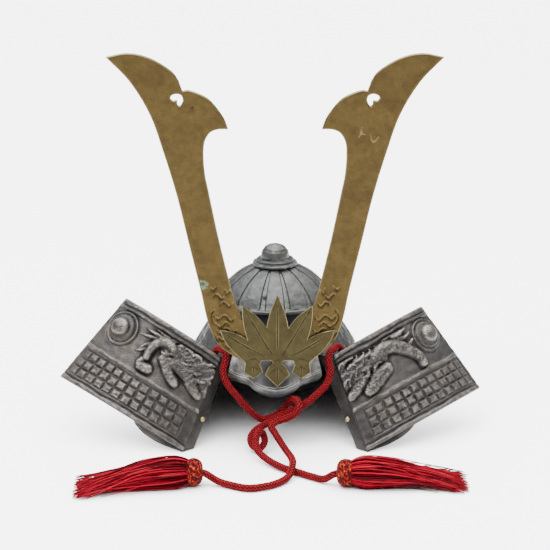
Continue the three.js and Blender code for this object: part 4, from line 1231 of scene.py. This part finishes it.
# A turned piece from rows of radius and height, with a function for its relief and marks
def turnedPiece(name, rows, turns, relieve, material, node, sharp=None, innerFrom=None):
    rows = np.asarray(rows, float)
    radius = np.broadcast_to(rows[:, 0][:, None], (len(rows), len(turns)))
    height = np.broadcast_to(rows[:, 1][:, None], radius.shape)
    way = np.gradient(rows, axis=0)
    way /= np.maximum(np.linalg.norm(way, axis=1), 1e-9)[:, None]
    lift, mark = relieve(radius, height, turns[None, :])
    out = np.stack([way[:, 1], -way[:, 0]], axis=1)
    radius = np.maximum(radius + lift * out[:, 0][:, None], 0.0)
    height = height + lift * out[:, 1][:, None]
    points = aroundAxis(radius, turns, height).reshape(-1, 3)
    count, wide = radius.shape
    faces = ringFaces(count, wide)
    faces.append(list(range(wide)))
    faces.append([(count - 1) * wide + k for k in range(wide)][::-1])
    # rows from innerFrom on take the near-black painted shade of the inside
    inner = None
    if innerFrom is not None:
        inner = np.arange(len(faces)) // wide >= innerFrom
    return addPiece(name, points, faces, material, [node],
                    {"relief": np.broadcast_to(mark, radius.shape)}, sharp=sharp, inner=inner)


# Turns round the bowl, closer together over each rib's beads
def ribTurns(values):
    offsets = np.array([0, 0.9, 1.6, 1.9, 2.15, 2.4, 2.65, 2.9, 3.15, 3.5, 4.2, 5.6, 7.4, 9.4, 11.2])
    pitch = 360 / values["ribs"]
    one = np.concatenate([-offsets[:0:-1], offsets, [pitch / 2]])
    turns = [one + pitch * (i + 0.5) for i in range(values["ribs"])]
    return np.radians(np.concatenate(turns))


# Rows up the bowl's sphere from a height to its top
def arcRows(values, radius, low, steps):
    start = math.asin((low - values["centre"]) / radius)
    turn = np.linspace(start, math.pi / 2 - 0.004, steps)
    return np.stack([radius * np.cos(turn), values["centre"] + radius * np.sin(turn)], axis=1)


def bowlRelief(radius, height, turns):
    values = bowlValues
    points = aroundAxis(radius, turns, height)
    outer = np.hypot(radius, height - values["centre"]) > values["radius"] - 0.3
    dome = outer & (height > values["rimHeight"] + values["rimDepth"] + 0.05)
    pitch = 2 * math.pi / values["ribs"]
    away = np.degrees(np.abs(turns % pitch - pitch / 2))  # from the middle of the nearest rib
    half = values["ribHalfTurn"]
    flat = 1 - smoothStep(half - 0.2, half + 0.45, away)
    bead = softLine(away, half, 0.32)
    middle = softLine(away, 0, 0.5)
    foot = 1 - 0.35 * smoothStep(14, 30, radius)
    rib = values["ribRise"] * flat + values["ribEdge"] * bead * foot - 0.12 * middle * flat
    rib = rib * (radius > 12)  # hidden under the finial
    cast = 0.1 * ripple(points, 9, 41) + 0.05 * ripple(points, 2.6, 42)
    dent = -0.9 * np.exp(-((points - values["dent"]) ** 2).sum(-1) / 1.1)
    lift = np.where(dome, rib + cast + dent, 0.35 * cast)
    lip = np.abs(radius - rimRadius) < 0.6
    band = (radius > bandTopRadius - 0.2) & (height < values["rimHeight"] - 0.1)
    shade = softLine(away, half + 0.9, 0.4)
    mark = np.where(dome, 0.47 + 0.16 * flat + 0.34 * bead - 0.3 * shade + 0.6 * dent, 0.25)
    mark = np.where(lip, 0.66, mark)
    # the recessed band is marked dark: partly its patina, partly painted shade from the dome's edge, the
    # crest and the horns
    mark = np.where(band, 0.14, mark)
    return lift, np.clip(mark + 0.05 * cast, 0, 1)


def bowlPiece(values):
    high = values["rimHeight"] + values["rimDepth"]
    outer = arcRows(values, values["radius"], high, 74)[::-1]
    lip = [(rimRadius - 0.35, high), (rimRadius, high - 0.3), (rimRadius, high - 1.0),
           (rimRadius, high - values["rimDepth"] + 0.3), (rimRadius - 0.4, values["rimHeight"] - 0.05)]
    bandTop = values["rimHeight"] - 0.6
    heights = np.linspace(bandTop, values["footHeight"], 24)
    share = (bandTop - heights) / (bandTop - values["footHeight"])
    bandRows = np.stack([bandTopRadius + values["bandFlare"] * share, heights], axis=1)
    inner = arcRows(values, values["radius"] - values["wall"], values["rimHeight"], 26)
    footInner = [(bandFootRadius - values["wall"], values["footHeight"])]
    middleInner = np.linspace(footInner[0], inner[0], 8)[1:-1]
    rows = np.vstack([outer, lip, bandRows, footInner, middleInner, inner])
    outside = len(outer) + len(lip) + len(bandRows)
    return turnedPiece("bowlShell", rows, ribTurns(values), bowlRelief, bowlMetal, "bowl",
                       sharp=55, innerFrom=outside)


# Finial: two rings and a domed cap
finialValues = {
    "ringRadius": 13.7,
    "ringSwell": 0.5,
    "ringHeight": 2.2,
    "stepRadius": 11.6,
    "stepHeight": 2.6,
    "capRadius": 9.0,
    "rise": 11.2,
    "seatGap": 0.45,
    "columns": 160,
}


def finialPiece(values):
    seatRadius = bowlValues["radius"] + values["seatGap"]
    base = bowlValues["centre"] + math.sqrt(seatRadius**2 - values["ringRadius"] ** 2)
    ring = base + values["ringHeight"]
    step = ring + values["stepHeight"]
    top = bowlValues["centre"] + seatRadius + values["rise"]
    seat = arcRows(bowlValues, seatRadius, base, 10)[::-1]
    ringRadius, stepRadius, capRadius = (values[key] for key in ("ringRadius", "stepRadius", "capRadius"))
    bulge = [(ringRadius + values["ringSwell"] * math.sin(math.pi * share),
              base + values["ringHeight"] * share) for share in np.linspace(0.02, 0.98, 9)]
    tread = [(ringRadius - 0.7, ring), (stepRadius + 0.6, ring - 0.15), (stepRadius + 0.1, ring + 0.1)]
    riser = [(stepRadius + 0.25 * math.sin(math.pi * share),
              ring + 0.3 + (values["stepHeight"] - 0.9) * share) for share in np.linspace(0, 1, 7)]
    shoulder = [(stepRadius - 0.5, step - 0.25), (capRadius + 0.7, step), (capRadius + 0.1, step + 0.1)]
    cap = [(capRadius * math.cos(turn) ** 0.8, step + 0.5 + (top - step - 0.5) * math.sin(turn))
           for turn in np.linspace(0.03, 0.995, 26) * math.pi / 2]
    rows = np.vstack([seat, bulge, tread, riser, shoulder, cap])

    def finialRelief(radius, height, turns):
        cast = ripple(aroundAxis(radius, turns, height), 4, 51)
        seam = softLine(height, step - 0.2 - 0.25 * np.sin(turns * 3), 0.45) * (radius > capRadius - 0.5)
        crown = softLine(height, step + 5.5 - 0.3 * np.sin(turns * 2 + 1), 0.4)
        lift = 0.07 * cast - 0.35 * seam - 0.2 * crown * (height < top - 2)
        mark = 0.5 - 0.35 * seam - 0.2 * crown + 0.2 * smoothStep(top - 3.5, top, height)
        mark = mark + 0.22 * softLine(height, ring - 0.4, 0.5)
        return lift, np.clip(mark + 0.06 * cast, 0, 1)

    turns = np.arange(values["columns"]) * 2 * math.pi / values["columns"]
    return turnedPiece("finialCap", rows, turns, finialRelief, bowlMetal, "finial", sharp=50)


bowlPiece(bowlValues)
finialPiece(finialValues)
print("stage: bowl and finial")


# Visor: a brim with a deep middle lobe and a rolled double lip
visorValues = {
    "halfWidth": 29.0,
    "rootHeight": 58.5,
    "rootTurn": 37.0,
    "rootGap": 0.3,
    "wall": 2.0,
    "reach": 62.0,
    "sideSetback": 10.0,
    "lipHeight": 33.6,
    "lipRake": 10.0,
    "swell": 2.2,
    "lipRise": 0.8,
    "columns": 180,
}
# Side, drop and setback of the lip's edge from the middle outwards, as shares
visorLip = [(0, 0, 0), (0.2, 0.09, 0.03), (0.42, 0.36, 0.16), (0.56, 0.68, 0.28), (0.72, 0.78, 0.45),
            (0.9, 0.84, 0.8), (1, 1, 1)]


def visorPiece(values):
    half = catmull(visorLip, 12)
    both = np.vstack([(half * (-1, 1, 1))[::-1][:-1], half])
    side, drop, setback = resample(both, values["columns"]).T
    turn = np.radians(values["rootTurn"]) * side
    rootRadius = bandFootRadius + values["rootGap"]
    root = aroundAxis(rootRadius, turn, np.full(len(turn), values["rootHeight"]))
    lip = np.stack([side * values["halfWidth"], -values["reach"] + setback * values["sideSetback"],
                    values["lipHeight"] + drop * values["lipRake"]], axis=1)
    top = np.concatenate([np.linspace(0, 0.88, 30), np.linspace(0.89, 1.0, 22)])
    bottom = np.linspace(1.0, 0.0, 16)
    roll = softLine(top, 0.955, 0.016)
    bead = softLine(top, 0.905, 0.012)
    rise = values["lipRise"] * (0.85 * roll + 0.5 * bead + 0.35 * smoothStep(0.9, 0.97, top))
    rise[-1] -= 0.5
    shares = np.concatenate([top, bottom])
    lifts = np.concatenate([rise, np.full(len(bottom), -values["wall"])])
    points = root[:, None] + (lip - root)[:, None] * shares[None, :, None]
    points[..., 2] += lifts + values["swell"] * np.sin(math.pi * shares)
    cast = ripple(points, 8, 61) * 0.12 + ripple(points, 2.2, 62) * 0.05
    points[..., 2] += cast * (shares > 0.04) * (shares < 0.98)
    topMarks = 0.5 + 0.4 * roll + 0.3 * bead - 0.3 * softLine(top, 0.93, 0.01)
    marks = np.concatenate([topMarks, np.full(len(bottom), 0.15)])
    # painted shade: the middle lobe is darker, as its flat middle faces less of the light than the upturned
    # sides
    lobe = np.exp(-((np.abs(side)[:, None] / 0.36) ** 4)) * smoothStep(0.25, 0.6, shares)
    marks = np.clip(marks[None, :] - 0.3 * lobe * (marks[None, :] < 0.7), 0, 1)
    points, faces = skin(points)
    return addPiece("visorBrim", points, faces, visorMetal, ["visor"],
                    {"relief": marks}, sharp=60)


visorPiece(visorValues)

# Neck guard: four overlapping conical lames with their fronts cut to the flanges
guardValues = {
    "topSpread": 2.88,
    "topLap": 7.5,
    "rimRadius": 92.0,
    "wall": 2.4,
    "tuck": 1.6,
    "seam": 0.3,
    "setback": 1.5,
    "columns": 260,
    "outerRows": 30,
    "innerRows": 12,
}
# Each lame's foot: share of the flare and share of the height
lameFeet = [(0.2, 0.742), (0.48, 0.5), (0.75, 0.25), (1.0, 0.0)]


# The plane just behind the flanges, at which the lames end
def frontPlane(values):
    _, normal = flangePlane(wingValues)
    return normal, np.array(wingValues["innerFoot"]) - normal * (wingValues["flangeWall"] + values["setback"])


# Largest turn from the back at which a circle is still behind the front plane
def lastTurn(radius, height, normal, at):
    limit = np.dot(normal, at) - normal[2] * height
    reach = radius * math.hypot(normal[0], normal[1])
    lean = np.arctan2(normal[0], normal[1])
    behind = np.arccos(np.clip(limit / reach, -1, 1))
    return lean + 2 * math.pi - behind if lean < 0 else lean - behind


def lamePieces(values):
    normal, at = frontPlane(values)
    topRadius = bandFootRadius + values["topSpread"]
    topHeight = bowlValues["footHeight"] + values["topLap"]
    top = (topRadius, topHeight)
    outerRows, innerRows = values["outerRows"], values["innerRows"]
    for index, (flare, tall) in enumerate(lameFeet):
        foot = (topRadius + (values["rimRadius"] - topRadius) * flare, topHeight * tall)
        slope = (foot[0] - top[0]) / (top[1] - foot[1])
        steep = math.hypot(1, slope)
        across = values["wall"] * steep
        tuck = values["tuck"] if index else 0.0
        high = (top[0] - slope * tuck, top[1] + tuck)
        outer = np.linspace(high, foot, outerRows)
        inner = np.linspace((foot[0] - across, foot[1]), (high[0] - across, high[1]), innerRows)
        ring = np.vstack([outer, inner])
        turns = np.array([lastTurn(r, z, normal, at) for r, z in ring])
        share = np.linspace(-1, 1, values["columns"])[:, None]
        angle = share * turns[None, :]
        radius = np.broadcast_to(ring[:, 0], angle.shape)
        height = np.broadcast_to(ring[:, 1], angle.shape)
        points = np.stack([radius * np.sin(angle), radius * np.cos(angle), height], axis=-1)
        cast = 0.1 * ripple(points, 9, 70 + index) + 0.04 * ripple(points, 2.4, 80 + index)
        down = np.concatenate([np.linspace(0, 1, outerRows), np.full(innerRows, 0.5)])
        front = np.concatenate([np.ones(outerRows), np.zeros(innerRows)])
        # upright streaks, deepest on the top lame
        streaks = ripple(np.stack([angle * 60, height * 0.06], axis=-1), 2.4, 90 + index)
        deep = 0.22 if index == 0 else 0.05
        away = cast + deep * streaks * np.minimum(down * 6, 1) * np.minimum((1 - down) * 6, 1)
        edge = softLine(down, 0.965, 0.03) * 0.25
        lift = (away + edge) * front * smoothStep(0, 0.06, down)
        inset = np.minimum(lift, 0.25)
        points[..., 0] += inset * np.sin(angle) / steep
        points[..., 1] += inset * np.cos(angle) / steep
        lifted = points[..., 2] + inset * slope / steep * front
        points[..., 2] = np.maximum(np.where(down < 0.985, lifted, points[..., 2]), 0.0)
        outerMarks = 0.46 + 0.13 * streaks * (index == 0) + 1.4 * edge
        marks = np.clip(np.where(front > 0, outerMarks, 0.12), 0, 1)
        meshPoints, faces = skin(points)
        material = bowlMetal if index == 0 else castMetal
        # inside faces take the near-black painted shade
        around = np.arange(len(faces)) % len(ring)
        inner = (around >= outerRows) & (np.arange(len(faces)) < len(faces) - 2)
        relieved = {"relief": np.broadcast_to(marks, angle.shape)}
        addPiece(f"neckLame{index + 1}", meshPoints, faces, material,
                 [f"neck_lame_{index + 1}"], relieved, sharp=50, inner=inner)
        top = (foot[0] - across - values["seam"] * steep, foot[1])


lamePieces(guardValues)
print("stage: visor and neck guard")


# Daylight set: a white floor that runs back out of view, a broad sky light from above and a soft key
stageValues = {
    "floorSize": 12.0,
    "floorColour": (0.98, 0.98, 0.98),
    "floorRoughness": 0.6,
    "floorSpecular": 0.1,
    "horizon": 0.12,
    "zenith": 7.2,
    "brightening": (0.22, 0.9),
    "aim": (0, 0, 0.08),
    "sky": {"turn": (10, -8, 0), "angle": 70, "strength": 5.0},
    "key": {"place": (-0.5, -0.7, 1.3), "size": 0.5, "power": 10.0},
}


def addLights(values):
    key = bpy.data.lights.new("keyLight", "AREA")
    key.shape = "DISK"
    key.size = values["key"]["size"]
    key.energy = values["key"]["power"]
    light = linkObject("keyLight", key)
    light.location = values["key"]["place"]
    aim = Vector(values["aim"]) - light.location
    light.rotation_euler = aim.to_track_quat("-Z", "Y").to_euler()
    sky = bpy.data.lights.new("skyLight", "SUN")
    sky.energy = values["sky"]["strength"]
    sky.angle = math.radians(values["sky"]["angle"])
    light = linkObject("skyLight", sky)
    light.rotation_euler = [math.radians(turn) for turn in values["sky"]["turn"]]


def addStage(values):
    half = values["floorSize"] / 2
    mesh = bpy.data.meshes.new("floor")
    corners = [(-half, -half, 0), (half, -half, 0), (half, half, 0), (-half, half, 0)]
    mesh.from_pydata(corners, [], [(0, 1, 2, 3)])
    material = bpy.data.materials.new("floorWhite")
    material.use_nodes = True
    principled = material.node_tree.nodes["Principled BSDF"]
    principled.inputs["Base Color"].default_value = (*values["floorColour"], 1.0)
    principled.inputs["Roughness"].default_value = values["floorRoughness"]
    principled.inputs["Specular IOR Level"].default_value = values["floorSpecular"]
    mesh.materials.append(material)
    floor = linkObject("floor", mesh)
    world = bpy.data.worlds.new("daylight")
    world.use_nodes = True
    back = world.node_tree.nodes["Background"]
    back.inputs["Color"].default_value = (1.0, 1.0, 1.0, 1.0)
    # brighter overhead than at the horizon
    tree = world.node_tree
    place = addNode(tree, "ShaderNodeTexCoord", (-900, 0))
    parts = addNode(tree, "ShaderNodeSeparateXYZ", (-700, 0))
    tree.links.new(place.outputs["Generated"], parts.inputs[0])
    low, high = values["brightening"]
    strength = rangeNode(tree, parts.outputs["Z"], (-500, 0), low, high, values["horizon"], values["zenith"])
    tree.links.new(strength, back.inputs["Strength"])
    bpy.context.scene.world = world


addStage(stageValues)
addLights(stageValues)
print("stage: floor and lights")

# Solids that are shown as they are
for name, material in (("rivet_left", rivetBrass), ("rivet_right", rivetBrass), ("horn_bracket", plainIron)):
    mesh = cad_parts[name].data
    mesh.materials.clear()
    mesh.materials.append(material)
